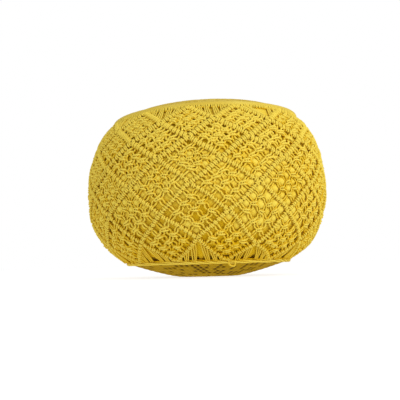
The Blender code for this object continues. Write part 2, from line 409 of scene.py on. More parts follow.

# %% [markdown]
# How tight the net is
#
# Where the net is pulled tight its gaps open and the liner bulges through them. Elsewhere the
# cords are slack: each pair bows apart and nearly fills the gap. One number from 0, slack, to
# 1, tight, says which, and the cords, the knots and the liner all read it. The tight patches
# are listed soft bumps, those at the front as in the photo and others round the back.

# %% Tightness
TIGHT_PATCHES = (
    # azimuth in degrees, ring, half-width in degrees, half-height in rings, strength
    (30, 4.3, 21, 1.35, 1.0),
    (12, 5.3, 9, 0.6, 0.75),
    (-5, 5.0, 17, 0.7, 0.55),
    (-41, 4.35, 13, 0.8, 1.0),
    (-21, 3.9, 7, 0.5, 0.8),
    (-4, 2.9, 9, 0.5, 0.8),
    (78, 4.6, 16, 1.2, 0.7),
    (128, 4.2, 22, 1.3, 0.8),
    (185, 4.9, 20, 1.2, 0.9),
    (238, 4.1, 18, 1.2, 0.7),
    (288, 4.8, 20, 1.1, 0.8),
)


def tightness(turn, ring):
    """From 0, slack, to 1, tight: the largest of the patches' bell-shaped bumps."""
    azimuth = np.degrees(net_azimuth(turn, ring))
    tight = np.zeros(np.broadcast(turn, ring).shape)
    for centre, middle_ring, half_width, half_height, strength in TIGHT_PATCHES:
        aside = (azimuth - centre + 180) % 360 - 180
        bump = np.exp(-(aside / half_width) ** 2 - ((ring - middle_ring) / half_height) ** 2)
        tight = np.maximum(tight, strength * bump)
    return tight


print("tightness at the front right:", round(float(tightness(2.2, 4.2)), 2))

# %% [markdown]
# The open mesh inside each diamond
#
# Inside a diamond, three pairs of cords run each way, parallel to its sides, and where two
# pairs meet they are tied in a square knot. A knot is wider than the step to the knot below
# it, so the cords run sideways where its bars hide them, and between two knots they drop
# almost straight down. That makes gaps that are taller than wide. The way across is the way
# down plus a sine that repeats at every knot. A pair touches at each knot and bows apart
# between knots, more so where the net is slack, and less beside a ridge, whose tight wraps
# hold it. That leaves a row of small holes along each ridge.

# %% Mesh cords
CORD_RADIUS = 2.3 * MM
CORD_SIDES = 5
TIGHT_THINNING = 0.85 * MM
PAIRS_EACH_WAY = 3
CELLS = PAIRS_EACH_WAY + 1
CELL_STEPS = 6
PAIR_HALF_GAP = 1.9 * MM
SLACK_BOW = 2.4 * MM
PAIR_SHIFT = 1.3 * MM
TIGHT_BOW = 0.3 * MM
MESH_PROUD = -2.5 * MM
MESH_LIFT = 1.9 * MM
SLACK_LIFT = 1.3 * MM
DROP_INSIDE = 0.85
DROP_AT_RIDGE = 0.45
BOW_BESIDE_RIDGE = 0.75
LEAST_EASE = 0.8
EASE_SPREAD = 0.4
LEAST_BOW = 0.2
BOW_SPREAD = 1.6
MESH_WAVER_ASIDE = 0.6 * MM
MESH_WAVER_OUT = 0.4 * MM


def dropping_step(share, ease):
    """Share across for a share down: quick at every knot and slow half-way between two. Ease
    varies how steeply a cord drops."""
    knot = np.minimum(np.floor(share * CELLS), PAIRS_EACH_WAY)
    t = share * CELLS - knot
    drop = np.where((knot == 0) | (knot == PAIRS_EACH_WAY), DROP_AT_RIDGE, DROP_INSIDE)
    return (knot + t + ease * drop * np.sin(math.tau * t) / math.tau) / CELLS


def diamond_corners():
    """First and second counts of the top corner of every diamond."""
    row, count = np.mgrid[0:DIAMOND_ROWS, 0:DIAMONDS_ROUND]
    return count.ravel().astype(float), (row - count).ravel().astype(float)


def mesh_cords(way, chance):
    """Paths, radii and outward directions of the mesh cords that run one way: the first count
    grows if way is 1, the second if it is -1."""
    first_start, second_start = diamond_corners()
    line = np.arange(1, CELLS) / CELLS
    side = np.array([-1.0, 1.0])
    corner, line, side = (axis.ravel() for axis in np.meshgrid(
        np.arange(len(first_start)), line, side, indexing="ij"))
    share = np.linspace(0, 1, CELLS * CELL_STEPS + 1)[None, :]
    fixed = line[:, None] + 0 * share
    first = first_start[corner][:, None] + (share if way > 0 else fixed)
    second = second_start[corner][:, None] + (fixed if way > 0 else share)
    stretch = np.minimum(share * CELLS, PAIRS_EACH_WAY).astype(int)[0]
    ease = chance.random((3, len(line), CELLS))[:, :, stretch]
    shift = np.repeat(chance.normal(0, PAIR_SHIFT, (len(line) // 2, CELLS)), 2, axis=0)[:, stretch]
    ring = first + second
    drop = dropping_step(share, LEAST_EASE + EASE_SPREAD * ease[2]) - share
    turn = (first - second + way * drop) / 2
    slack = 1 - tightness(turn, ring)
    hump = np.sin(math.pi * CELLS * share) ** 2
    beside_ridge = (stretch == 0) | (stretch == PAIRS_EACH_WAY)
    slack_bow = SLACK_BOW * np.where(beside_ridge, BOW_BESIDE_RIDGE, 1.0)
    bow = (slack_bow * slack * (LEAST_BOW + BOW_SPREAD * ease[0]) + TIGHT_BOW) * hump
    sideways = (side[:, None] * (PAIR_HALF_GAP + bow) + shift * hump
                + waver(chance, len(line), share, MESH_WAVER_ASIDE))
    proud = (MESH_PROUD + (MESH_LIFT + SLACK_LIFT * slack * (2 * ease[1] - 1)) * hump
             + waver(chance, len(line), share, MESH_WAVER_OUT))
    paths, outward = laid(turn, ring, proud, sideways)
    return paths, CORD_RADIUS - TIGHT_THINNING * (1 - slack), outward


def make_mesh_cords(name, way, seed):
    """One piece from all the mesh cords that run one way."""
    cords = mesh_cords(way, np.random.default_rng(seed))
    return make_cords(name, [(*cords, CORD_SIDES)], seed + 1)


falling_cords = make_mesh_cords("mesh_cords_falling", 1, 11)
rising_cords = make_mesh_cords("mesh_cords_rising", -1, 21)

# %% [markdown]
# Square knots
#
# From the front a square knot is two bars, one above the other. Each bar is an arc: its middle
# stands proud and its ends sink. On the left the bars draw together into a small upright
# loop, and on the right they part and dive behind. Between the bars the cords inside the knot
# show as a dark broken line. Every knot is tipped by a few degrees of its own, as hand-tied
# knots are.

# %% Knots
KNOT_STEPS = 7
KNOT_TURNS = 1 / (2 * CELLS)
WIDEST_PITCH = math.tau * WIDEST_RADIUS / DIAMONDS_ROUND * KNOT_TURNS
STEP_DOWN = 0.05
LEAST_KNOT = 0.86
KNOT_SPREAD = 0.26
KNOT_HALF_WIDTH = 7.9 * MM
TIGHT_NARROWING = 1.8 * MM
BAR_RADIUS = 2.15 * MM
BAR_HALF_GAP = 2.45 * MM
BAR_PARTING = 1.8 * MM
BAR_DRAWING = 0.8 * MM
BAR_PARTING_POWER = 2.2
BAR_DIP_POWER = 2.5
BAR_UNEVENNESS = 0.4 * MM
BAR_TOP = 1.9 * MM
BAR_DIP = 3.6 * MM
LOOP_STEPS = 6
LOOP_RADIUS = 1.9 * MM
LOOP_BULGE = 2.2 * MM
LOOP_TOP = 0.9 * MM
LOOP_DIP = 2.6 * MM
LOOP_PAST_BARS = 0.6 * MM
KNOT_TIP = math.radians(12)
KNOT_SHIFT = 0.7 * MM
CORE_RADIUS = 1.9 * MM
CORE_OFFSET = 1.85 * MM
CORE_LENGTH = 5.6 * MM
CORE_TOP = 0.7 * MM
CORE_DIP = 2.4 * MM
CORE_STEPS = 4


def knot_places(chance):
    """Centre, half-width, the three axes of every square knot (along its bars, down and out),
    and how tight the net is there."""
    first_start, second_start = diamond_corners()
    steps = np.arange(1, CELLS) / CELLS
    corner, i, j = (axis.ravel() for axis in np.meshgrid(
        np.arange(len(first_start)), steps, steps, indexing="ij"))
    first, second = first_start[corner] + i, second_start[corner] + j
    turn, ring = (first - second) / 2, first + second
    centre, outward = on_net(turn, ring, 0.0), net_outward(turn, ring)
    sideways = unit(np.cross(outward, on_net(turn, ring + STEP_DOWN, 0.0) - centre))
    tip = chance.normal(0, KNOT_TIP, len(turn))[:, None]
    along = np.cos(tip) * sideways + np.sin(tip) * np.cross(sideways, outward)
    pitch = np.linalg.norm(on_net(turn + KNOT_TURNS, ring, 0.0) - centre, axis=-1)
    tight = tightness(turn, ring)
    width = (KNOT_HALF_WIDTH - TIGHT_NARROWING * tight) * pitch / WIDEST_PITCH
    width *= LEAST_KNOT + KNOT_SPREAD * chance.random(len(turn))
    down = np.cross(along, outward)
    shift = chance.normal(0, KNOT_SHIFT, (2, len(turn), 1))
    return centre + shift[0] * along + shift[1] * down, width, along, down, outward, tight


def knot_arc(place, reach, drop, proud):
    """Paths given by how far they reach along, drop down and stand proud in a knot's axes."""
    centre, _, along, down, outward, _ = place
    return (centre[:, None] + reach[..., None] * along[:, None]
            + drop[..., None] * down[:, None] + proud[..., None] * outward[:, None])


def knot_bars(place, chance):
    """Paths of the two bars of every knot, drawn together at the left and parting at the
    right, and the direction across them."""
    share = np.linspace(-1, 1, KNOT_STEPS)
    reach = place[1][:, None] * share
    spread = np.where(share > 0, BAR_PARTING, -BAR_DRAWING)
    apart = BAR_HALF_GAP + spread * np.abs(share) ** BAR_PARTING_POWER
    paths = []
    for bar in (-1, 1):
        proud = BAR_TOP - BAR_DIP * np.abs(share) ** BAR_DIP_POWER + 0 * reach
        proud += chance.normal(0, BAR_UNEVENNESS, (len(reach), 1))
        paths.append(knot_arc(place, reach, bar * apart + 0 * reach, proud))
    return np.concatenate(paths), np.repeat(np.tile(place[3], (2, 1))[:, None], KNOT_STEPS, axis=1)


def knot_loops(place):
    """Paths of the upright loop at the left end of every knot."""
    share = np.linspace(-1, 1, LOOP_STEPS)
    start = -place[1][:, None] + 0 * share
    reach = start + LOOP_BULGE * (np.abs(share) ** 2 - 0.5)
    proud = LOOP_TOP - LOOP_DIP * np.abs(share) ** 3 + 0 * start
    paths = knot_arc(place, reach, (BAR_HALF_GAP + LOOP_PAST_BARS) * share + 0 * start, proud)
    return paths, np.repeat(place[2][:, None], LOOP_STEPS, axis=1)


def knot_thickness(place, radius, cords):
    """Radii of that many cords in every knot: thinner where the net is tight."""
    return np.tile(radius - TIGHT_THINNING * place[5], cords)[:, None]


def knot_cores(place):
    """Paths of the two upright cords inside every knot, seen between its bars."""
    share = np.linspace(-1, 1, CORE_STEPS)
    paths = []
    for side in (-1, 1):
        reach = np.full((len(place[1]), CORE_STEPS), side * CORE_OFFSET)
        proud = CORE_TOP - CORE_DIP * np.abs(share) ** 2 + 0 * reach
        paths.append(knot_arc(place, reach, CORE_LENGTH * share + 0 * reach, proud))
    return np.concatenate(paths), np.repeat(np.tile(place[2], (2, 1))[:, None], CORE_STEPS, axis=1)


chance = np.random.default_rng(31)
places = knot_places(chance)
bars, across_bars = knot_bars(places, chance)
loops, across_loops = knot_loops(places)
cores, across_cores = knot_cores(places)
square_knots = make_cords("square_knots", [
    (bars, knot_thickness(places, BAR_RADIUS, 2), across_bars, CORD_SIDES),
    (loops, knot_thickness(places, LOOP_RADIUS, 1), across_loops, CORD_SIDES),
    (cores, knot_thickness(places, CORE_RADIUS, 2), across_cores, CORD_SIDES)], 32)

# %% [markdown]
# Wrapped ridges along the diamonds' sides
#
# Each side of a diamond is a row of double half hitches: cord after cord is wrapped twice
# over one carrying cord. That makes pairs of short ribs across the ridge. A rib is an
# arch: most of an ellipse over the ridge, with its feet sunk in the net. On the ridges that
# rise to the right the ribs are square to the ridge. On the others they are dragged half
# upright by the weight of the work, and those ridges pass under where two cross. Low down,
# where the net is drawn in, the ribs are pulled narrower.

# %% Wrapped ridges
HITCHES = 8
ARCH_STEPS = 6
ARCH_HALF_WIDTH = 4.8 * MM
ARCH_HEIGHT = 3.0 * MM
ARCH_SINK = 0.7 * MM
WIDE_TO_RING = 2.6
NARROW_FROM_RING = 4.2
NARROW_SHARE = 0.72
WRAP_RADIUS = 1.75 * MM
HALF_PAIR = 0.19
CARRIER_RADIUS = 1.8 * MM
CARRIER_STEPS = 9
CARRIER_SINK = 0.2 * MM
ARCH_ENDS = (-24, 204)
LEAST_ARCH = 0.94
ARCH_SPREAD = 0.12
HITCH_UNEVENNESS = 0.004
RIDGE_STEP = 0.01
RIDGES = {
    # name: way, ends clear, slant, height over the face
    "ridge_falling": (1, 0.04, -0.5 * MM, 0.4 * MM),
    "ridge_rising": (-1, 0.015, 0.3 * MM, 0.9 * MM),
}


def ridge_lines():
    """Turn and ring of the upper end of every ridge between two crossings."""
    ring, count = np.mgrid[0:LAST_RING, 0:DIAMONDS_ROUND]
    return (count + 0.5 * (ring % 2)).ravel(), ring.ravel().astype(float)


def ridge_wraps(way, clear, slant, lift, chance):
    """Paths of the arches over every ridge that runs one way, two for each hitch."""
    turn_start, ring_start = ridge_lines()
    pair = np.arange(HITCHES) + 0.5
    share = (pair[:, None] + np.array([-HALF_PAIR, HALF_PAIR])).ravel() / HITCHES
    share = clear + (1 - 2 * clear) * share
    share = share[None, :] + chance.normal(0, HITCH_UNEVENNESS, (len(turn_start), len(share)))
    turn = (turn_start[:, None] + way * share / 2).ravel()
    ring = (ring_start[:, None] + share).ravel()
    centre, outward = on_net(turn, ring, lift), net_outward(turn, ring)
    further = on_net(turn + way * RIDGE_STEP / 2, ring + RIDGE_STEP, lift)
    ahead = unit(further - centre)
    across = np.cross(outward, ahead)
    angle = np.radians(np.linspace(*ARCH_ENDS, ARCH_STEPS))[None, :]
    size = (LEAST_ARCH + ARCH_SPREAD * chance.random(len(turn)))[:, None]
    width = ARCH_HALF_WIDTH * np.interp(ring, [WIDE_TO_RING, NARROW_FROM_RING], [1, NARROW_SHARE])
    paths = (centre[:, None]
             + (size * width[:, None] * np.cos(angle))[..., None] * across[:, None]
             + (size * ARCH_HEIGHT * np.sin(angle) - ARCH_SINK)[..., None] * outward[:, None]
             + (way * slant * np.cos(angle) + 0 * size)[..., None] * ahead[:, None])
    return paths, np.repeat(ahead[:, None], ARCH_STEPS, axis=1)


def ridge_carriers(way, lift):
    """Paths of the carrying cords under the wraps."""
    turn_start, ring_start = ridge_lines()
    share = np.linspace(0, 1, CARRIER_STEPS)[None, :]
    turn, ring = turn_start[:, None] + way * share / 2, ring_start[:, None] + share
    return laid(turn, ring, lift - CARRIER_SINK, 0.0)


def make_ridge(name, seed):
    """One piece from the wraps and the carrying cords of all the ridges that run one way."""
    way, clear, slant, lift = RIDGES[name]
    paths, guides = ridge_wraps(way, clear, slant, lift, np.random.default_rng(seed))
    carriers, outward = ridge_carriers(way, lift)
    return make_cords(name, [(paths, WRAP_RADIUS, guides, CORD_SIDES),
                             (carriers, CARRIER_RADIUS, outward, CORD_SIDES)], seed + 1)


ridge_falling = make_ridge("ridge_falling", 41)
ridge_rising = make_ridge("ridge_rising", 51)

# %% [markdown]
# Fans of straight cords
#
# Where a crossing comes next to a rim, the cords leave the two ridges and run straight to the
# rim cord. They lean away from the middle, which leaves a window where the liner shows, and
# they are tied on in threes, which leaves small dark holes just above the rim. One fan at the
# top right has been pulled open, so its window is wider.

# %% Fans
FAN_CORDS = 9
TIED_TOGETHER = 3
FAN_STEPS = 8
FAN_CORD_RADIUS = 1.5 * MM
FAN_SIDES = 6
FIRST_LEAVES = 0.02
LEAVING_SPAN = 0.95
FAN_REACH = 1.02
FAN_ARCH = 1.0 * MM
FAN_UNEVENNESS = 0.004
FAN_WAVER_ASIDE = 0.3 * MM
FAN_WAVER_OUT = 0.35 * MM
TOP_WINDOW = 0.012
OPEN_TOP_FAN = 2
OPEN_TOP_WINDOW = 0.16
BASE_WINDOW = 0.06
FAN_PROUD = -0.4 * MM
DRAWN_TOGETHER = 0.36


def fan_paths(apex_turn, apex_ring, way, window, chance):
    """Paths of one rim's fan cords: each runs from its place on a ridge to its place on the
    rim, and the three cords of a group draw together as they get there. Window is half the
    width of each fan's opening at the rim, in turns."""
    turns = apex_turn + np.arange(DIAMONDS_ROUND)
    cord = np.arange(FAN_CORDS) + 0.5
    leave = FIRST_LEAVES + LEAVING_SPAN * cord / FAN_CORDS
    tied = cord - DRAWN_TOGETHER * (np.arange(FAN_CORDS) % TIED_TOGETHER - 1)
    number, which, side = (axis.ravel() for axis in np.meshgrid(
        np.arange(DIAMONDS_ROUND), np.arange(FAN_CORDS), [-1.0, 1.0], indexing="ij"))
    fan, side = turns[number], side.astype(float)
    arrive = window[number] + (0.5 - window[number]) * tied[which] / FAN_CORDS
    share = np.linspace(0, 1, FAN_STEPS)[None, :]
    start = (side * leave[which] / 2)[:, None]
    end = (side * arrive)[:, None] + chance.normal(0, FAN_UNEVENNESS, (len(which), 1))
    turn = fan[:, None] + start + (end - start) * share
    depart = leave[which][:, None]
    ring = apex_ring + way * (depart + (FAN_REACH - depart) * share)
    proud = (FAN_PROUD + FAN_ARCH * np.sin(math.pi * share)
             + waver(chance, len(which), share, FAN_WAVER_OUT))
    return laid(turn, ring, proud, waver(chance, len(which), share, FAN_WAVER_ASIDE))


top_windows = np.full(DIAMONDS_ROUND, TOP_WINDOW)
top_windows[OPEN_TOP_FAN] = OPEN_TOP_WINDOW
base_windows = np.full(DIAMONDS_ROUND, BASE_WINDOW)
top_fans, top_outward = fan_paths(0.5, 1, -1, top_windows, np.random.default_rng(61))
base_fans, base_outward = fan_paths(0.0, LAST_RING - 1, 1, base_windows,
                                    np.random.default_rng(62))
fan_cords = make_cords("fan_cords", [(top_fans, FAN_CORD_RADIUS, top_outward, FAN_SIDES),
                                     (base_fans, FAN_CORD_RADIUS, base_outward, FAN_SIDES)], 63)

# %% [markdown]
# Rim cords
#
# The base rim is a bundle of four strands that wind slowly and unevenly round each other. A
# strand's centre is the rim's circle plus a small circle that turns as it goes, and it joins
# up with itself because it makes a whole number of turns. The top rim is a row of hitches
# round a carrying cord: pairs of open rings, side by side. The seats and sizes repeat the
# solids, so both rims lie where they do. A loose end of thread hangs from the base rim at the
# front, in a small loop.

# %% Rim cords
RIM_CORD_RADIUS = 0.0055
RIM_CORD_DEPTH = 0.001
SEAT_GAP = 0.0003
STRANDS = 4
STRAND_RADIUS = 2.1 * MM
STRAND_OFFSET = 3.0 * MM
STRAND_TURNS = 9
STRAND_UNEVENNESS = 0.9
STRAND_WAVES = 5
STRAND_SHADES = (0.1, 0.6)
RIM_STEPS = 360
STRAND_SIDES = 7
RIM_HITCHES = 192
RIM_WRAP_RADIUS = 1.45 * MM
RIM_HALF_PAIR = 0.21
RIM_WRAP_REACH = 2.3
RIM_CARRIER_RADIUS = 2.6 * MM
RIM_CARRIER_SIDES = 8
RIM_WRAP_STEPS = 8
RIM_WRAP_ENDS = (-35, 215)
LEAST_RIM_WRAP = 0.96
RIM_WRAP_SPREAD = 0.08
RIM_UNEVENNESS = 0.002
TAIL_AZIMUTH = 14.2
TAIL_HALF_WIDTH = 6.5 * MM
TAIL_DROP = 8.0 * MM
TAIL_RADIUS = 1.6 * MM
TAIL_STEPS = 18
TAIL_SIDES = 6
TAIL_ENDS = (-35, 215)
TAIL_SWAY = 0.02
TAIL_START_DROP = 2.0 * MM
TAIL_OUT = 3.6 * MM
TAIL_TUCK = 1.4 * MM


def rim_cord_centre(ring):
    """Height and radius of a rim cord's centre, just past the net's edge."""
    outward = side_outward(ring)
    down = np.array([-outward[1], outward[0]])
    away = down if ring == LAST_RING else -down
    reach = RIM_CORD_RADIUS + SEAT_GAP
    return side_curve(ring) + reach * away - RIM_CORD_DEPTH * outward


def make_rim_strands(name, ring):
    """A closed tube round each strand: the path's ends meet, so both its differences and its
    faces wrap round."""
    azimuth = np.arange(RIM_STEPS) * math.tau / RIM_STEPS
    height, radius = rim_cord_centre(ring)
    wind = STRAND_TURNS * azimuth + STRAND_UNEVENNESS * np.sin(STRAND_WAVES * azimuth)
    wind = wind + np.arange(STRANDS)[:, None] * math.tau / STRANDS
    centre = turned(height + STRAND_OFFSET * np.cos(wind), radius + STRAND_OFFSET * np.sin(wind),
                    azimuth + 0 * wind)
    ahead = unit(np.roll(centre, -1, axis=1) - np.roll(centre, 1, axis=1))
    across = unit(np.cross(ahead, np.broadcast_to([0.0, 0.0, 1.0], ahead.shape)))
    over = np.cross(across, ahead)
    angle = (np.arange(STRAND_SIDES) * math.tau / STRAND_SIDES)[:, None]
    rings = centre[:, :, None] + STRAND_RADIUS * (np.cos(angle) * across[:, :, None]
                                                 + np.sin(angle) * over[:, :, None])
    one = grid_quads(RIM_STEPS, STRAND_SIDES, close_columns=True, close_rows=True)
    quads = np.concatenate([one + strand * RIM_STEPS * STRAND_SIDES for strand in range(STRANDS)])
    step, side = np.divmod(one, STRAND_SIDES)
    step = np.where(step < step[:, :1], step + RIM_STEPS, step)
    side = np.where(side < side[:, :1], side + STRAND_SIDES, side)
    spacing = math.tau * radius / RIM_STEPS
    uv = np.stack([side / STRAND_SIDES, step * spacing], axis=-1).reshape(-1, 2)
    shade = np.repeat(np.linspace(*STRAND_SHADES, STRANDS), RIM_STEPS * STRAND_SIDES)
    points = rings.reshape(-1, 3)
    return make_piece(name, points, quads, uv=np.tile(uv, (STRANDS, 1)), cord_shade=shade,
                      sunk=sunk(points))


def make_rim_hitches(name, ring, seed):
    """Rings round the rim's circle, open only towards the filling and longer towards the net,
    and the carrying cord."""
    chance = np.random.default_rng(seed)
    height, radius = rim_cord_centre(ring)
    outward = side_outward(ring)
    down = np.array([-outward[1], outward[0]])
    hitch = (np.arange(RIM_HITCHES)[:, None] + np.array([-RIM_HALF_PAIR, RIM_HALF_PAIR])).ravel()
    uneven = chance.normal(0, RIM_UNEVENNESS, len(hitch))
    azimuth = (hitch * math.tau / RIM_HITCHES + uneven)[:, None]
    angle = np.radians(np.linspace(*RIM_WRAP_ENDS, RIM_WRAP_STEPS))
    full = LEAST_RIM_WRAP + RIM_WRAP_SPREAD * chance.random((len(hitch), 1))
    size = (RIM_CORD_RADIUS - RIM_WRAP_RADIUS) * full
    along = np.cos(angle) * np.where(np.cos(angle) > 0, RIM_WRAP_REACH, 1.0)
    up = size * (along * down[0] + np.sin(angle) * outward[0])
    out = size * (along * down[1] + np.sin(angle) * outward[1])
    paths = turned(height + up, radius + out, azimuth)
    guides = np.repeat(np.stack([np.cos(azimuth), np.sin(azimuth), 0 * azimuth], axis=-1),
                       RIM_WRAP_STEPS, axis=1)
    round_rim = np.linspace(0, math.tau, RIM_STEPS // 2)[None, :]
    carrier = turned(height, radius, round_rim)
    return make_cords(name, [
        (paths, RIM_WRAP_RADIUS, guides, CORD_SIDES),
        (carrier, RIM_CARRIER_RADIUS, [0.0, 0.0, 1.0], RIM_CARRIER_SIDES)], seed + 1)


def make_thread_tail(name, seed):
    """A loose end of thread that hangs from the base rim in a small loop: an arc, wide at its
    middle, that starts and ends inside the rim cord."""
    height, radius = rim_cord_centre(LAST_RING)
    angle = np.radians(np.linspace(*TAIL_ENDS, TAIL_STEPS))[None, :]
    azimuth = math.radians(TAIL_AZIMUTH) + TAIL_HALF_WIDTH / radius * np.cos(angle)
    low = np.sin(angle)
    azimuth = azimuth + TAIL_SWAY * low ** 2
    path = turned(height - TAIL_START_DROP - TAIL_DROP * low,
                  radius + TAIL_OUT - TAIL_TUCK * low, azimuth)
    return make_cords(name, [(path, TAIL_RADIUS, [0.0, -1.0, 0.0], TAIL_SIDES)], seed)


top_rim = make_rim_hitches("hitched_rim_top", 0, 65)
base_rim = make_rim_strands("twisted_rim_base", LAST_RING)
thread_tail = make_thread_tail("thread_tail", 67)

# %% [markdown]
# The shapes of the two ends
#
# A dense disc closes each end. Its outline is a power curve: the exponent is chosen so that
# the curve meets the rim cord at the right slope. A sphere cap would be simpler, but a filled
# seat is flatter in the middle and turns down faster at its rim. The liner needs these
# outlines as well as the discs, so they come first.

# %% Outlines of the ends
DISC_THICKNESS = 0.005
CROWN_HEIGHT = 0.365
CROWN_SHOULDER = 3.2 * MM
CROWN_EDGE_ANGLE = 26.0
BASE_EDGE_ANGLE = 19.0
FOOT_RADIUS = 0.060
SOLID_CORD_SIDES = 8
ARC_STEPS = 200


def disc_edge(ring, angle, up):
    """Height and radius of a disc's edge, on the far side of its rim cord from the net."""
    slope = math.radians(angle)
    along = np.array([up * math.sin(slope), -math.cos(slope)])
    out = np.array([up * math.cos(slope), math.sin(slope)])
    reach = RIM_CORD_RADIUS / math.cos(math.pi / SOLID_CORD_SIDES) + SEAT_GAP
    return rim_cord_centre(ring) + reach * along + RIM_CORD_DEPTH * out


def crown_profile(share):
    """Height and radius of the crown: a flat dome that meets its edge at the edge's angle,
    with a low round shoulder added, where the filling pushes the knit up beside the rim."""
    edge_height, edge_radius = disc_edge(0, CROWN_EDGE_ANGLE, 1)
    rise = CROWN_HEIGHT - edge_height
    power = math.tan(math.radians(CROWN_EDGE_ANGLE)) * edge_radius / rise
    shoulder = CROWN_SHOULDER * np.sin(math.pi * np.clip(share, 0, 1) ** 3)
    return edge_height + rise * (1 - share ** power) + shoulder, edge_radius * share


def base_profile(share):
    """Height and radius of the base: a flat foot that curves up to its edge."""
    edge_height, edge_radius = disc_edge(LAST_RING, BASE_EDGE_ANGLE, -1)
    run = edge_radius - FOOT_RADIUS
    power = math.tan(math.radians(BASE_EDGE_ANGLE)) * run / edge_height
    radius = edge_radius * share
    return edge_height * np.clip((radius - FOOT_RADIUS) / run, 0, 1) ** power, radius


def offset_profile(profile, share, up, rise):
    """Height and radius of a profile moved square to itself, out if rise is positive: the slope
    of height over radius gives the square direction."""
    height, radius = profile(share)
    nudge = 1e-4
    height_next, radius_next = profile(share + nudge)
    slope = (height_next - height) / (radius_next - radius)
    run = np.sqrt(1 + slope ** 2)
    return height + up * rise / run, radius - up * slope * rise / run


def arc_length(profile):
    """Length of a profile from its middle to its edge: the sum of many short steps."""
    height, radius = profile(np.linspace(0, 1, ARC_STEPS))
    return float(np.hypot(np.diff(height), np.diff(radius)).sum())


print("the crown measures", round(2 * arc_length(crown_profile), 4), "m across its arc")

# %% [markdown]
# The liner
#
# The ball of filling has a smooth cloth skin. It is one closed surface: rows run from the
# middle of the top, down the side in step with the net, to the middle of the base. Seen
# through the net it is the brightest thing, because it bulges out of the gaps. A cloth
# simulation could press it through the cords, but half of the gaps are under 8 mm wide. That
# is only one or two of the 4 to 6 mm voxels that it would be remeshed to, too few for a round
# bulge, so the bulge is a formula. The liner's depth under the net's face is a base depth,
# less a bulge in each gap. The bulge is a product of two squared sines, which is 0 under the
# cords and 1 mid-gap. Where the net is slack, its cords lie close to the liner and the bulge
# is small. Near the top it even turns into a dimple, so that a gap there is a small dark
# hole. Low in the middle of the front the filling has sunk back, and the gaps are open but
# hollow.

# %% Liner
LINER_COLUMNS = 384
LINER_SIDE_ROWS = 113
SLACK_DEPTH = 5.2 * MM
TIGHT_DEPTH = 7.4 * MM
FAN_LINER_DEPTH = 3.6 * MM
OPEN_FAN_DEPTH = 1.6 * MM
RIM_TUCK = 7.0 * MM
TUCKED_RINGS = 0.16
WINDOW_TUCK = 0.25
BULGE_RINGS = (2.2, 3.2, 4.3, 5.0)
SLACK_BULGES = (-2.6 * MM, 3.6 * MM, 3.0 * MM, -0.6 * MM)
TIGHT_BULGE = 8.4 * MM
HOLLOW = (-4.0, 5.1, 15.0, 0.75)  # azimuth, ring, half-width in degrees, half-height in rings
LEAST_LUCK = 0.6
LUCK_SPREAD = 0.8
LONE_BULGES = 0.5
LUCK_ROWS = 64
FAN_RINGS = 0.9
FAN_FADE = 0.4
OPEN_FAN_WIDTH = 0.2
LINER_V_SPAN = 0.62
SLACK_ROUNDNESS = 0.7
TIGHT_ROUNDNESS = 0.3
LINER_UNDER_DISC = DISC_THICKNESS + 1.5 * MM
END_SHARES = np.array([0.12, 0.3, 0.5, 0.68, 0.82, 0.91])
GAPS_ROUND = 2 * CELLS * DIAMONDS_ROUND


def gap_luck(first, second):
    """A random share for each gap of the mesh, looked up by the gap's own two counts."""
    table = np.random.default_rng(68).random((LUCK_ROWS, GAPS_ROUND))
    row, column = np.floor(CELLS * first), np.floor(CELLS * second)
    return table[(row + column).astype(int) % LUCK_ROWS, (row - column).astype(int) % GAPS_ROUND]


def liner_depth(turn, ring):
    """How far the liner lies under the net's face. Share is how far a gap is from slack to
    tight: the net's tightness times the gap's luck, and a few lucky gaps of slack net too. In
    the hollow only the luckiest still bulge."""
    first, second = ring / 2 + turn, ring / 2 - turn
    gap = (np.sin(math.pi * CELLS * first) * np.sin(math.pi * CELLS * second)) ** 2
    luck = gap_luck(first, second)
    pulled = tightness(turn, ring) * (LEAST_LUCK + LUCK_SPREAD * luck)
    share = np.clip(pulled + LONE_BULGES * luck ** 3, 0, 1)
    azimuth, middle_ring, half_width, half_height = HOLLOW
    aside = (np.degrees(net_azimuth(turn, ring)) - azimuth + 180) % 360 - 180
    hollow = np.exp(-(aside / half_width) ** 2 - ((ring - middle_ring) / half_height) ** 2)
    share = share * (1 - hollow * (1 - luck ** 4))
    pad = gap ** (SLACK_ROUNDNESS + (TIGHT_ROUNDNESS - SLACK_ROUNDNESS) * share)
    base = SLACK_DEPTH + (TIGHT_DEPTH - SLACK_DEPTH) * share
    slack_bulge = np.interp(ring, BULGE_RINGS, SLACK_BULGES)
    mesh = base - (slack_bulge + (TIGHT_BULGE - slack_bulge) * share) * pad
    edge = np.minimum(ring, LAST_RING - ring)
    in_fan = np.clip((FAN_RINGS - edge) / FAN_FADE, 0, 1)
    from_open_fan = (turn - OPEN_TOP_FAN - 0.5) / OPEN_FAN_WIDTH
    in_open_fan = np.exp(-from_open_fan ** 2) * (ring < LAST_RING / 2)
    fan_depth = FAN_LINER_DEPTH + (OPEN_FAN_DEPTH - FAN_LINER_DEPTH) * in_open_fan
    in_window = np.abs(turn - np.round(turn)) < BASE_WINDOW
    tuck = RIM_TUCK * np.clip((ring - LAST_RING) / TUCKED_RINGS + 1, 0, 1)
    tuck = tuck * np.where(in_window, WINDOW_TUCK, 1.0)
    return mesh + (fan_depth - mesh) * in_fan + tuck


def close_grid(rows, poles):
    """Points, quads and triangles of rows of points closed by a pole at each end, with each
    face turned so that it looks to the left of the way round and of the way down."""
    count, columns = rows.shape[0] * rows.shape[1], rows.shape[1]
    column = np.arange(columns)
    across, last = np.roll(column, -1), count - columns
    caps = np.concatenate([
        np.stack([np.full_like(column, count), column, across], axis=-1),
        np.stack([np.full_like(column, count + 1), last + across, last + column], axis=-1)])
    points = np.concatenate([rows.reshape(-1, 3), poles])
    return points, grid_quads(rows.shape[0], columns, close_columns=True), caps


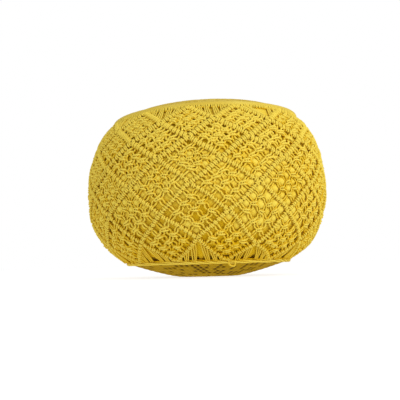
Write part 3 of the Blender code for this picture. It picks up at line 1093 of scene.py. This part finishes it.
def make_liner():
    """The side rows in step with the net, and end rows just under the two discs. The UV map
    runs in metres round the widest row in U, and by even steps from pole to pole in V."""
    turn = np.arange(LINER_COLUMNS)[None, :] * DIAMONDS_ROUND / LINER_COLUMNS
    ring = np.linspace(0, LAST_RING, LINER_SIDE_ROWS)[:, None]
    side = on_net(turn, ring, -liner_depth(turn, ring))
    top_height, top_radius = offset_profile(crown_profile, END_SHARES, 1, -LINER_UNDER_DISC)
    base_height, base_radius = offset_profile(base_profile, END_SHARES[::-1], -1, -LINER_UNDER_DISC)
    top = turned(top_height[:, None], top_radius[:, None], net_azimuth(turn, 0.0))
    base = turned(base_height[:, None], base_radius[:, None], net_azimuth(turn, LAST_RING))
    poles = [[0, 0, CROWN_HEIGHT - LINER_UNDER_DISC], [0, 0, LINER_UNDER_DISC]]
    rows = np.concatenate([top, side, base])
    points, quads, caps = close_grid(rows, poles)
    place = np.stack(np.broadcast_arrays(
        turn * math.tau * WIDEST_RADIUS / DIAMONDS_ROUND,
        np.linspace(0, LINER_V_SPAN, rows.shape[0])[:, None]), axis=-1).reshape(-1, 2)
    place = np.concatenate([place, [[0, 0], [0, LINER_V_SPAN]]])
    corners = place[np.concatenate([quads.ravel(), caps.ravel()])]
    wraps = quads[:, 2] < quads[:, 1]
    corners[:quads.size].reshape(-1, 4, 2)[wraps, 2:, 0] += math.tau * WIDEST_RADIUS
    return make_piece("liner", points, quads, caps, corners, sunk=sunk(points))


liner = make_liner()

# %% [markdown]
# Knit discs
#
# The discs are worked in rounds from the centre. Each round is a ridge, and the number of
# stitches grows by seven a round, as it has to for a disc to lie flat. The relief is a wave
# across the rounds times a wave along each one. Here and there a stitch leaves a pinhole,
# which is pressed in and marked in the attribute pinhole; the material paints a dark shadow
# in it. The base is worked in taller stitches than the crown, and leaves more of them. The
# light from the floor is flat, so the underside's grooves go into that mask too and get the
# same painted shadow, or its stitches wouldn't show. The grooves of both discs get painted
# shade as well.
#
# Each disc is a closed shell: rows run from the centre out along the face, and back in along
# the lining side. The crown's last rounds lap over the upper half of the hitched rim: they
# follow an arc round the rim cord's centre, and turn back under themselves.

# %% Knit discs
DISC_COLUMNS = 560
INNER_ROWS = 24
OUTER_ROWS = 68
INNER_SHARE = 0.36
BACK_SHARES = (1.0, 0.7, 0.35)
CROWN_ROUNDS = (6.0 * MM, 0.3)  # width of a round, share of stitches that leave a pinhole
BASE_ROUNDS = (12.0 * MM, 0.45)
STITCHES_PER_ROUND = 7
STITCH_RELIEF = 0.9 * MM
ROUND_RELIEF = 0.6 * MM
ROUND_ROUNDNESS = 0.7
STITCH_ROUNDNESS = 0.8
BETWEEN_STITCHES = 0.6
PINHOLE_DEPTH = 1.8 * MM
PINHOLE_ALONG = 0.12
PINHOLE_ACROSS = 0.16
CHANCE_ROUNDS = 64
CHANCE_STITCHES = 512
# shares of the pinholes' painted shadow given to the underside's grooves and the crown's holes
UNDERSIDE_GROOVE_SHADOW = 0.35
CROWN_HOLES = 0.25
LAP_ANGLES = (154.0, -18.0)
LAP_RADIUS = 6.7 * MM
LAP_THICKNESS = 0.8 * MM
LAP_ROWS = 10
LAP_START = 0.3
LAP_RELIEF = 0.5
LAP_GROOVE = 0.2
LAP_BACK_END = 128.0
LAP_BACK_ROWS = 4


def knit_relief(radius, azimuth, worked, chance):
    """Relief of the stitches under the disc's face, down to -0.9 mm between them and -2.7 mm in
    a pinhole, the mask of the pinholes and the mask of the grooves. Worked is the width of a
    round and the share of stitches that leave a pinhole."""
    pitch, hole_share = worked
    rounds = radius / pitch
    number = np.floor(rounds)
    stitches = np.maximum(number, 1) * STITCHES_PER_ROUND
    across = np.abs(np.sin(math.pi * rounds)) ** ROUND_ROUNDNESS
    phase = azimuth * stitches / math.tau + 0.5 * (number % 2)
    along = np.abs(np.sin(math.pi * phase)) ** STITCH_ROUNDNESS
    stitch = np.floor(phase + 0.5).astype(int) % CHANCE_STITCHES
    table = chance.random((CHANCE_ROUNDS, CHANCE_STITCHES))
    has_hole = table[number.astype(int) % CHANCE_ROUNDS, stitch] < hole_share
    beside = (phase + 0.5) % 1 - 0.5
    hole = has_hole * np.exp(-beside ** 2 / PINHOLE_ALONG
                             - (rounds % 1 - 0.5) ** 2 / PINHOLE_ACROSS)
    relief = ROUND_RELIEF * (across - 1) + STITCH_RELIEF * (along - 1) * across
    groove = 1 - across * (1 - BETWEEN_STITCHES + BETWEEN_STITCHES * along)
    return relief - PINHOLE_DEPTH * hole, hole, groove


def crown_lap(relief_at):
    """Heights and radii of the crown's lap: out along an arc round the rim cord's centre, with
    relief, and back a little nearer to it."""
    height, radius = rim_cord_centre(0)
    angle = np.radians(np.linspace(*LAP_ANGLES, LAP_ROWS))[1:, None]
    relief = relief_at(crown_profile(np.ones(1))[1][0] + LAP_RADIUS * (angle[0] - angle))
    swell = np.sin(np.linspace(LAP_START, 1, LAP_ROWS - 1)[:, None] * math.pi / 2)
    seat = RIM_CORD_RADIUS + SEAT_GAP
    reach = seat + (LAP_RADIUS - seat) * swell + relief
    back_angle = np.radians(np.linspace(LAP_ANGLES[1], LAP_BACK_END, LAP_BACK_ROWS))[:, None]
    back_reach = np.full((LAP_BACK_ROWS, relief.shape[1]), LAP_RADIUS - LAP_THICKNESS)
    angle = np.concatenate([angle + 0 * reach, back_angle + 0 * back_reach])
    reach = np.concatenate([reach, back_reach])
    return height + reach * np.sin(angle), radius + reach * np.cos(angle)


def make_disc(name, profile, up, worked, seed):
    """A disc turned from its profile, with relief on the outer face and a plain back."""
    azimuth = np.arange(DISC_COLUMNS)[None, :] * math.tau / DISC_COLUMNS
    share = np.concatenate([np.linspace(0, INNER_SHARE, INNER_ROWS)[1:],
                            np.linspace(INNER_SHARE, 1, OUTER_ROWS)[1:]])[:, None]
    relief, hole, groove = knit_relief(profile(share)[1], azimuth, worked,
                                       np.random.default_rng(seed))
    height, radius = offset_profile(profile, share, up, relief)
    if up > 0:
        # the crown's pinholes get a weaker painted shadow
        hole = CROWN_HOLES * hole
        lap = crown_lap(lambda arc: LAP_RELIEF * knit_relief(
            arc, azimuth, worked, np.random.default_rng(seed))[0])
        height, radius = np.concatenate([height, lap[0]]), np.concatenate([radius, lap[1]])
        plain_lap = np.full_like(lap[0], LAP_GROOVE)
        hole, groove = np.concatenate([hole, 0 * plain_lap]), np.concatenate([groove, plain_lap])
    face = turned(height, radius, azimuth)
    back_share = np.array(BACK_SHARES)[:, None]
    height, radius = offset_profile(profile, back_share, up, -DISC_THICKNESS)
    back = turned(height, radius, azimuth)
    middle = float(profile(np.zeros(1))[0][0])
    points, quads, caps = close_grid(np.concatenate([face, back]),
                                     [[0, 0, middle], [0, 0, middle - up * DISC_THICKNESS]])
    if up < 0:
        quads, caps = quads[:, ::-1], caps[:, ::-1]
        # the underside's grooves get the pinholes' painted shadow too
        hole = hole + UNDERSIDE_GROOVE_SHADOW * groove
    plain = np.zeros(back.shape[0] * DISC_COLUMNS + 2)
    return make_piece(name, points, quads, caps,
                      pinhole=np.concatenate([hole.ravel(), plain]),
                      groove=np.concatenate([groove.ravel(), plain]))


knit_crown = make_disc("knit_crown", crown_profile, 1, CROWN_ROUNDS, 71)
knit_base = make_disc("knit_base", base_profile, -1, BASE_ROUNDS, 72)

# %% [markdown]
# Node helpers
#
# The materials are built in code, so a few small helpers keep them readable: they fill a
# node's inputs, with numbers or with links, add a node, and start a material or a node group.
# A node group is a small material effect with named inputs and outputs, which several
# materials share. A Mix node has the same titles for numbers and colours, so its colour
# sockets are found by their places.

# %% Node helpers
MIX_FACTOR, MIX_FIRST, MIX_SECOND = 0, 6, 7
MIX_COLOUR = 2
WHITE = (1.0, 1.0, 1.0, 1.0)


def fill_inputs(tree, node, inputs):
    """Give a node its inputs: each is a number, a colour or another node's output."""
    for title, value in inputs.items():
        if isinstance(value, bpy.types.NodeSocket):
            tree.links.new(value, node.inputs[title])
        else:
            node.inputs[title].default_value = value


def add_node(tree, kind, inputs=None, **settings):
    """A node with its settings and its inputs."""
    node = tree.nodes.new("ShaderNode" + kind)
    for title, value in settings.items():
        setattr(node, title, value)
    fill_inputs(tree, node, inputs or {})
    return node


def new_material(name, inputs):
    """A material, its tree and its shader, with the shader's constant inputs set."""
    material = bpy.data.materials.new(name)
    material.use_nodes = True
    shader = material.node_tree.nodes["Principled BSDF"]
    fill_inputs(material.node_tree, shader, inputs)
    return material, material.node_tree, shader


def maths(tree, operation, *values):
    """The output of a Math node on numbers or outputs."""
    node = add_node(tree, "Math", dict(enumerate(values)), operation=operation)
    return node.outputs[0]


def new_group(name, inputs, outputs):
    """A node group with named inputs and outputs, and its input and output nodes."""
    group = bpy.data.node_groups.new(name, "ShaderNodeTree")
    for title, kind in inputs.items():
        group.interface.new_socket(title, in_out="INPUT", socket_type="NodeSocket" + kind)
    for title, kind in outputs.items():
        group.interface.new_socket(title, in_out="OUTPUT", socket_type="NodeSocket" + kind)
    given = group.nodes.new("NodeGroupInput").outputs
    result = group.nodes.new("NodeGroupOutput").inputs
    return group, given, result


print("a colour mix takes its sockets", MIX_FACTOR, MIX_FIRST, "and", MIX_SECOND)

# %% [markdown]
# Dyed cotton and painted shade
#
# All the pieces are dyed in one yellow, but the dye never takes evenly. This group mixes a
# light and a deep tone. Broad noise gives cloudy patches, fine noise gives the speckle of
# cotton, and a mask from outside shifts the mix further: a cord's own random shade, or the
# painted shade of grooves, gaps and pinholes. Low down the colour is deeper too: that is
# painted shade, for the dimmer light under the ottoman.

# %% Dye and painted shade group
CLOUD_SCALE = 14.0
CLOUD_STRENGTH = 0.9
SPECKLE_SCALE = 900.0
SPECKLE_STRENGTH = 0.5
NOISE_DETAIL = 2.0
TOWARDS_LIGHT = -0.25
# below these heights the colour is painted deeper: painted shade low down
FULL_LOW_SHADE_BELOW = 0.02
NO_LOW_SHADE_ABOVE = 0.10
UNDERSIDE_PAINTED_SHADE = 0.8


def make_dye_and_shade_group():
    """Colour mixes the two tones by clouds + speckle + deepen + painted shade in low places."""
    group, given, result = new_group(
        "dye_and_painted_shade",
        {"Place": "Vector", "Light Tone": "Color", "Deep Tone": "Color", "Deepen": "Float"},
        {"Color": "Color", "Speckle": "Float"})
    clouds, speckle = (add_node(group, "TexNoise", {
        "Vector": given["Place"], "Scale": scale, "Detail": NOISE_DETAIL}).outputs["Fac"]
        for scale in (CLOUD_SCALE, SPECKLE_SCALE))
    cloudy = maths(group, "MULTIPLY_ADD", clouds, CLOUD_STRENGTH, TOWARDS_LIGHT)
    speckled = maths(group, "MULTIPLY_ADD", speckle, SPECKLE_STRENGTH, TOWARDS_LIGHT)
    height = add_node(group, "SeparateXYZ", {"Vector": given["Place"]}).outputs["Z"]
    low = add_node(group, "MapRange", {
        "Value": height, "From Min": FULL_LOW_SHADE_BELOW, "From Max": NO_LOW_SHADE_ABOVE,
        "To Min": UNDERSIDE_PAINTED_SHADE, "To Max": 0.0}).outputs["Result"]
    deepen = maths(group, "ADD", given["Deepen"], low)
    mix = maths(group, "ADD", maths(group, "ADD", cloudy, speckled), deepen)
    blend = add_node(group, "Mix", {
        MIX_FACTOR: mix, MIX_FIRST: given["Light Tone"], MIX_SECOND: given["Deep Tone"]},
        data_type="RGBA", clamp_factor=True)
    group.links.new(blend.outputs[MIX_COLOUR], result["Color"])
    group.links.new(speckle, result["Speckle"])
    return group


dye_and_shade_group = make_dye_and_shade_group()
print("the dye group has", len(dye_and_shade_group.nodes), "nodes")

# %% [markdown]
# Twisted plies
#
# Each cord is three plies twisted together. On the cord's UV map the plies are slanting
# stripes: the stripe number is plies x U + V / pitch, and the height of a ply is the
# rectified sine of that. Three is a whole number, so the stripes meet where U closes.

# %% Ply group
PLY_ROUNDNESS = 0.6


def make_ply_group():
    """Height is |sin(pi x (plies x U + V / pitch))| to a power, and groove is 1 - height."""
    group, given, result = new_group(
        "twisted_plies", {"UV": "Vector", "Plies": "Float", "Pitch": "Float"},
        {"Height": "Float", "Groove": "Float"})
    parts = add_node(group, "SeparateXYZ", {"Vector": given["UV"]})
    along = maths(group, "DIVIDE", parts.outputs["Y"], given["Pitch"])
    stripe = maths(group, "MULTIPLY_ADD", parts.outputs["X"], given["Plies"], along)
    wave = maths(group, "ABSOLUTE", maths(group, "SINE", maths(group, "MULTIPLY", stripe, math.pi)))
    height = maths(group, "POWER", wave, PLY_ROUNDNESS)
    group.links.new(height, result["Height"])
    group.links.new(maths(group, "SUBTRACT", 1.0, height), result["Groove"])
    return group


ply_group = make_ply_group()
print("the ply group has", len(ply_group.nodes), "nodes")

# %% [markdown]
# Plain weave
#
# The liner is plain-woven: threads go over and under each other one by one. The height of
# such a cloth is the product of two sines, positive where the warp is on top and negative
# where the weft is, so its absolute value is a little bump at every crossing.

# %% Weave group
def make_weave_group():
    """Height is |sin(pi x threads x U) x sin(pi x threads x V)|."""
    group, given, result = new_group(
        "plain_weave", {"UV": "Vector", "Threads": "Float"}, {"Height": "Float"})
    parts = add_node(group, "SeparateXYZ", {"Vector": given["UV"]})
    waves = []
    for axis in "XY":
        turns = maths(group, "MULTIPLY", parts.outputs[axis], given["Threads"])
        waves.append(maths(group, "SINE", maths(group, "MULTIPLY", turns, math.pi)))
    height = maths(group, "ABSOLUTE", maths(group, "MULTIPLY", *waves))
    group.links.new(height, result["Height"])
    return group


weave_group = make_weave_group()
print("the weave group has", len(weave_group.nodes), "nodes")

# %% [markdown]
# The materials
#
# Cotton is matt, with a faint sheen where its fibres stand up and catch the light at the
# edge. That is the shader's sheen, set as a plain number; the underside, which is pressed
# flat, has none. Everything that changes over the surface comes from the groups: the dye and
# the painted shade into Base Color, the plies and threads into Bump. The values named deeper
# or shade say how far each mask shifts the colour towards the deep tone. A cord's own shade
# is its random tone; the shade in the plies' grooves, deep in the net, in the knit's grooves
# and in the pinholes is painted shade. Those named lighter shift it back, and the liner's
# threads are painted lighter on top, a painted highlight.

# %% Materials
# each deep tone serves both the dye's random mottling and the painted shade
LIGHT_TONE = (0.72, 0.55, 0.072, 1.0)
DEEP_TONE = (0.66, 0.405, 0.001, 1.0)
LINER_LIGHT = (0.72, 0.555, 0.070, 1.0)
LINER_DEEP = (0.69, 0.44, 0.006, 1.0)
DISC_LIGHT = (0.64, 0.50, 0.088, 1.0)
DISC_DEEP = (0.45, 0.272, 0.002, 1.0)
# the dark colour multiplied into the pinholes: a painted shadow
PAINTED_PINHOLE_SHADOW = (0.12, 0.07, 0.02, 1.0)
PLIES = 3.0
CORD_PITCH = 7.0 * MM
RIM_PITCH = 9.0 * MM
LINER_THREADS = 1400.0
CORD_SHEEN = 0.1
LINER_SHEEN = 0.12
KNIT_SHEEN = 0.1
UNDERSIDE_SHEEN = 0.0
CORD_RELIEF = 0.27 * MM
LINER_RELIEF = 0.10 * MM
KNIT_RELIEF = 0.5 * MM
BUMP_STRENGTH = 0.8
SPECKLE_RELIEF = 0.35
# painted shade in the plies' grooves, deep in the net, in the knit's grooves and pinholes; a
# painted highlight on the liner's threads; a cord's own shade is its random tone
PLY_GROOVE_SHADE = 0.22
SHADE_DEEPER = 0.25
CORD_DEPTH_SHADE = 3.0
CORD_LIGHTER = -0.95
WEAVE_TOP_HIGHLIGHT = -0.2
LINER_DEPTH_SHADE = 1.7
LINER_LIGHTER = -0.65
KNIT_GROOVE_SHADE = 0.7
PINHOLE_PAINTED_SHADE = 1.5
FIBRE_SCALE = 420.0
FIBRE_DETAIL = 3.0


def cotton(name, sheen):
    """A new material, its tree and its shader, with cotton's constant values set."""
    return new_material(name, {
        "Roughness": 0.88, "Specular IOR Level": 0.06, "Sheen Weight": sheen,
        "Sheen Roughness": 0.45, "Sheen Tint": (1.0, 0.86, 0.4, 1.0)})


def use_group(tree, group, **inputs):
    """The outputs of a node that uses a group. An underscore stands for a space in a title."""
    node = add_node(tree, "Group", node_tree=group)
    fill_inputs(tree, node, {title.replace("_", " "): value for title, value in inputs.items()})
    return node.outputs


def finish_cotton(tree, shader, light, deep, deepen, relief, distance, holes=0.0):
    """Dye the shader, with its painted shade, and give it its relief: a height and how far it
    stands, in metres. Holes is a mask of the places where a painted shadow is multiplied in."""
    place = add_node(tree, "TexCoord").outputs["Object"]
    dye_and_shade = use_group(tree, dye_and_shade_group, Place=place, Light_Tone=light, Deep_Tone=deep, Deepen=deepen)
    shaded = add_node(tree, "Mix", {
        MIX_FACTOR: holes, MIX_FIRST: dye_and_shade["Color"], MIX_SECOND: PAINTED_PINHOLE_SHADOW},
        data_type="RGBA", blend_type="MULTIPLY", clamp_factor=True)
    height = maths(tree, "MULTIPLY_ADD", dye_and_shade["Speckle"], SPECKLE_RELIEF, relief)
    bump = add_node(tree, "Bump", {
        "Height": height, "Distance": distance, "Strength": BUMP_STRENGTH})
    fill_inputs(tree, shader, {
        "Base Color": shaded.outputs[MIX_COLOUR], "Normal": bump.outputs["Normal"]})


def attribute(tree, title):
    """The output of a node that reads one of the piece's own attributes."""
    return add_node(tree, "Attribute", attribute_name=title).outputs["Fac"]


def cord_material(name, pitch):
    """Twisted cord: own random shade, painted shade in its grooves and deep in the net."""
    material, tree, shader = cotton(name, CORD_SHEEN)
    uv = add_node(tree, "UVMap", uv_map="cloth_uv").outputs["UV"]
    plies = use_group(tree, ply_group, UV=uv, Plies=PLIES, Pitch=pitch)
    own = maths(tree, "MULTIPLY", attribute(tree, "cord_shade"), SHADE_DEEPER)
    deepen = maths(tree, "MULTIPLY_ADD", plies["Groove"], PLY_GROOVE_SHADE, own)
    deepen = maths(tree, "MULTIPLY_ADD", attribute(tree, "sunk"), CORD_DEPTH_SHADE,
                   maths(tree, "ADD", deepen, CORD_LIGHTER))
    finish_cotton(tree, shader, LIGHT_TONE, DEEP_TONE, deepen, plies["Height"], CORD_RELIEF)
    return material


def liner_material():
    """Plain-woven cloth: painted highlight on its threads, painted shade deep in the gaps."""
    material, tree, shader = cotton("liner_cotton", LINER_SHEEN)
    uv = add_node(tree, "UVMap", uv_map="cloth_uv").outputs["UV"]
    weave = use_group(tree, weave_group, UV=uv, Threads=LINER_THREADS)
    low = maths(tree, "MULTIPLY_ADD", attribute(tree, "sunk"), LINER_DEPTH_SHADE, LINER_LIGHTER)
    deepen = maths(tree, "MULTIPLY_ADD", weave["Height"], WEAVE_TOP_HIGHLIGHT, low)
    finish_cotton(tree, shader, LINER_LIGHT, LINER_DEEP, deepen, weave["Height"], LINER_RELIEF)
    return material


def knit_material(name, sheen):
    """Dense knit: painted shade in grooves, dark painted shadow in pinholes, rough with fibres."""
    material, tree, shader = cotton(name, sheen)
    pinhole = attribute(tree, "pinhole")
    in_hole = maths(tree, "MULTIPLY", pinhole, PINHOLE_PAINTED_SHADE)
    deepen = maths(tree, "MULTIPLY_ADD", attribute(tree, "groove"), KNIT_GROOVE_SHADE, in_hole)
    fibres = add_node(tree, "TexNoise", {
        "Vector": add_node(tree, "TexCoord").outputs["Object"],
        "Scale": FIBRE_SCALE, "Detail": FIBRE_DETAIL}).outputs["Fac"]
    finish_cotton(tree, shader, DISC_LIGHT, DISC_DEEP, deepen, fibres, KNIT_RELIEF, holes=pinhole)
    return material


net_cotton = cord_material("net_cotton", CORD_PITCH)
rim_cotton = cord_material("rim_cotton", RIM_PITCH)
liner_cotton = liner_material()
knit_cotton = knit_material("knit_cotton", KNIT_SHEEN)
underside_cotton = knit_material("underside_cotton", UNDERSIDE_SHEEN)
print("the net's cotton has", len(net_cotton.node_tree.nodes), "nodes")

# %% [markdown]
# Fitting the pieces to the frame
#
# The ottoman has no joints, so every piece rides on its one body. Each piece says which solid
# it stands for and which finish it takes. The size that each disc was worked to is printed.

# %% Fit
FITTING = (
    # piece, solid it replaces, slot, material
    (liner, "inner_cushion", "liner_cloth", liner_cotton),
    (ridge_falling, "net_cover", "net_cord", net_cotton),
    (ridge_rising, "net_cover", "net_cord", net_cotton),
    (falling_cords, "net_cover", "net_cord", net_cotton),
    (rising_cords, "net_cover", "net_cord", net_cotton),
    (square_knots, "net_cover", "net_cord", net_cotton),
    (fan_cords, "net_cover", "net_cord", net_cotton),
    (top_rim, "top_rim_cord", "rim_cord", rim_cotton),
    (base_rim, "base_rim_cord", "rim_cord", rim_cotton),
    (thread_tail, "base_rim_cord", "rim_cord", rim_cotton),
    (knit_crown, "crown_disc", "knit_disc", knit_cotton),
    (knit_base, "base_disc", "knit_disc", underside_cotton),
)
for piece, solid, slot, material in FITTING:
    piece.data.materials.append(material)
    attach(piece, "root")
    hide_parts(solid)
lap = LAP_RADIUS * math.radians(LAP_ANGLES[0] - LAP_ANGLES[1])
for piece, profile, edge in ((knit_crown, crown_profile, lap), (knit_base, base_profile, 0.0)):
    reach = arc_length(profile) + edge
    print(piece.name, "was worked to", round(2 * reach, 4), "m across")

# %% [markdown]
# Floor, light and camera
#
# The photo is a studio shot on white. The floor is a large pale disc, and the world is a
# plain white that dims overhead, so both come out near white and the crown isn't washed out.
# One wide, soft lamp at the front right gives the ottoman its form, and the white all round
# fills the shade.
#
# The camera was solved from the net's crossings in the photo: it stands 1.5 m away, low, and
# looks up by five degrees. Its three directions are worked out one by one and put in a matrix.

# %% Floor and light
FLOOR_RADIUS = 6.0
FLOOR_SEGMENTS = 96
FLOOR_GLOW = 0.8
FLOOR_GREY = (0.25, 0.25, 0.25, 1.0)
FLOOR_ROUGHNESS = 0.95
FLOOR_DROP = 0.2 * MM
WORLD_STRENGTH = 1.0
ZENITH_STRENGTH = 0.5
FADE_FROM = 0.4
KEY_PLACE = Vector((1.0, -1.4, 1.05))
KEY_AIM = Vector((0.0, 0.0, 0.2))
KEY_WATTS = 16.5
KEY_SIZE = 1.1


def make_floor():
    """A flat disc just under the foot, which glows a little so that it comes out near white."""
    angle = np.arange(FLOOR_SEGMENTS) * math.tau / FLOOR_SEGMENTS
    ring = np.stack([FLOOR_RADIUS * np.cos(angle), FLOOR_RADIUS * np.sin(angle),
                     np.full(FLOOR_SEGMENTS, -FLOOR_DROP)], axis=-1)
    mesh = bpy.data.meshes.new("studio_floor")
    mesh.from_pydata(ring.tolist(), [], [list(range(FLOOR_SEGMENTS))])
    material = new_material("floor_paper", {
        "Base Color": FLOOR_GREY, "Roughness": FLOOR_ROUGHNESS,
        "Emission Color": WHITE, "Emission Strength": FLOOR_GLOW})[0]
    mesh.materials.append(material)
    floor = add_object("studio_floor", mesh)


def make_lights():
    """A white world whose strength falls with the height of the direction, and one wide lamp."""
    world = bpy.data.worlds.new("white_studio")
    world.use_nodes = True
    background = world.node_tree.nodes["Background"]
    background.inputs["Color"].default_value = WHITE
    direction = add_node(world.node_tree, "TexCoord").outputs["Generated"]
    up = add_node(world.node_tree, "SeparateXYZ", {"Vector": direction}).outputs["Z"]
    fade = add_node(world.node_tree, "MapRange", {
        "Value": up, "From Min": FADE_FROM, "From Max": 1.0,
        "To Min": WORLD_STRENGTH, "To Max": ZENITH_STRENGTH})
    world.node_tree.links.new(fade.outputs["Result"], background.inputs["Strength"])
    bpy.context.scene.world = world
    lamp = bpy.data.lights.new("key_lamp", "AREA")
    lamp.energy, lamp.size = KEY_WATTS, KEY_SIZE
    key = add_object("key_lamp", lamp)
    key.location = KEY_PLACE
    key.rotation_euler = (KEY_AIM - KEY_PLACE).to_track_quat("-Z", "Y").to_euler()


make_floor()
make_lights()
bpy.context.scene.view_settings.view_transform = "Standard"
print("the lamp stands", round((KEY_AIM - KEY_PLACE).length, 2), "m away")

# %% Camera
CAMERA_PLACE = (-0.0153, -1.524, 0.0275)
CAMERA_PITCH = math.radians(5.19)
CAMERA_ROLL = math.radians(1.42)
SENSOR_WIDTH = 36.0
FOCAL_SHARE = 1.75


def make_camera():
    """A camera from its pitch and roll: right, up and back are the matrix's columns."""
    forward = Vector((0, math.cos(CAMERA_PITCH), math.sin(CAMERA_PITCH)))
    level_up = Vector((0, -math.sin(CAMERA_PITCH), math.cos(CAMERA_PITCH)))
    level_right = Vector((1, 0, 0))
    right = level_right * math.cos(CAMERA_ROLL) - level_up * math.sin(CAMERA_ROLL)
    up = level_up * math.cos(CAMERA_ROLL) + level_right * math.sin(CAMERA_ROLL)
    lens = bpy.data.cameras.new("photo_camera")
    lens.sensor_width = SENSOR_WIDTH
    lens.lens = SENSOR_WIDTH * FOCAL_SHARE
    camera = add_object("photo_camera", lens)
    camera.matrix_world = (Matrix.Translation(CAMERA_PLACE)
                           @ Matrix((right, up, -forward)).transposed().to_4x4())
    bpy.context.scene.camera = camera


make_camera()
print("the camera's field is", round(math.degrees(2 * math.atan(0.5 / FOCAL_SHARE)), 1), "degrees")

# %% Update the scene
bpy.context.view_layer.update()
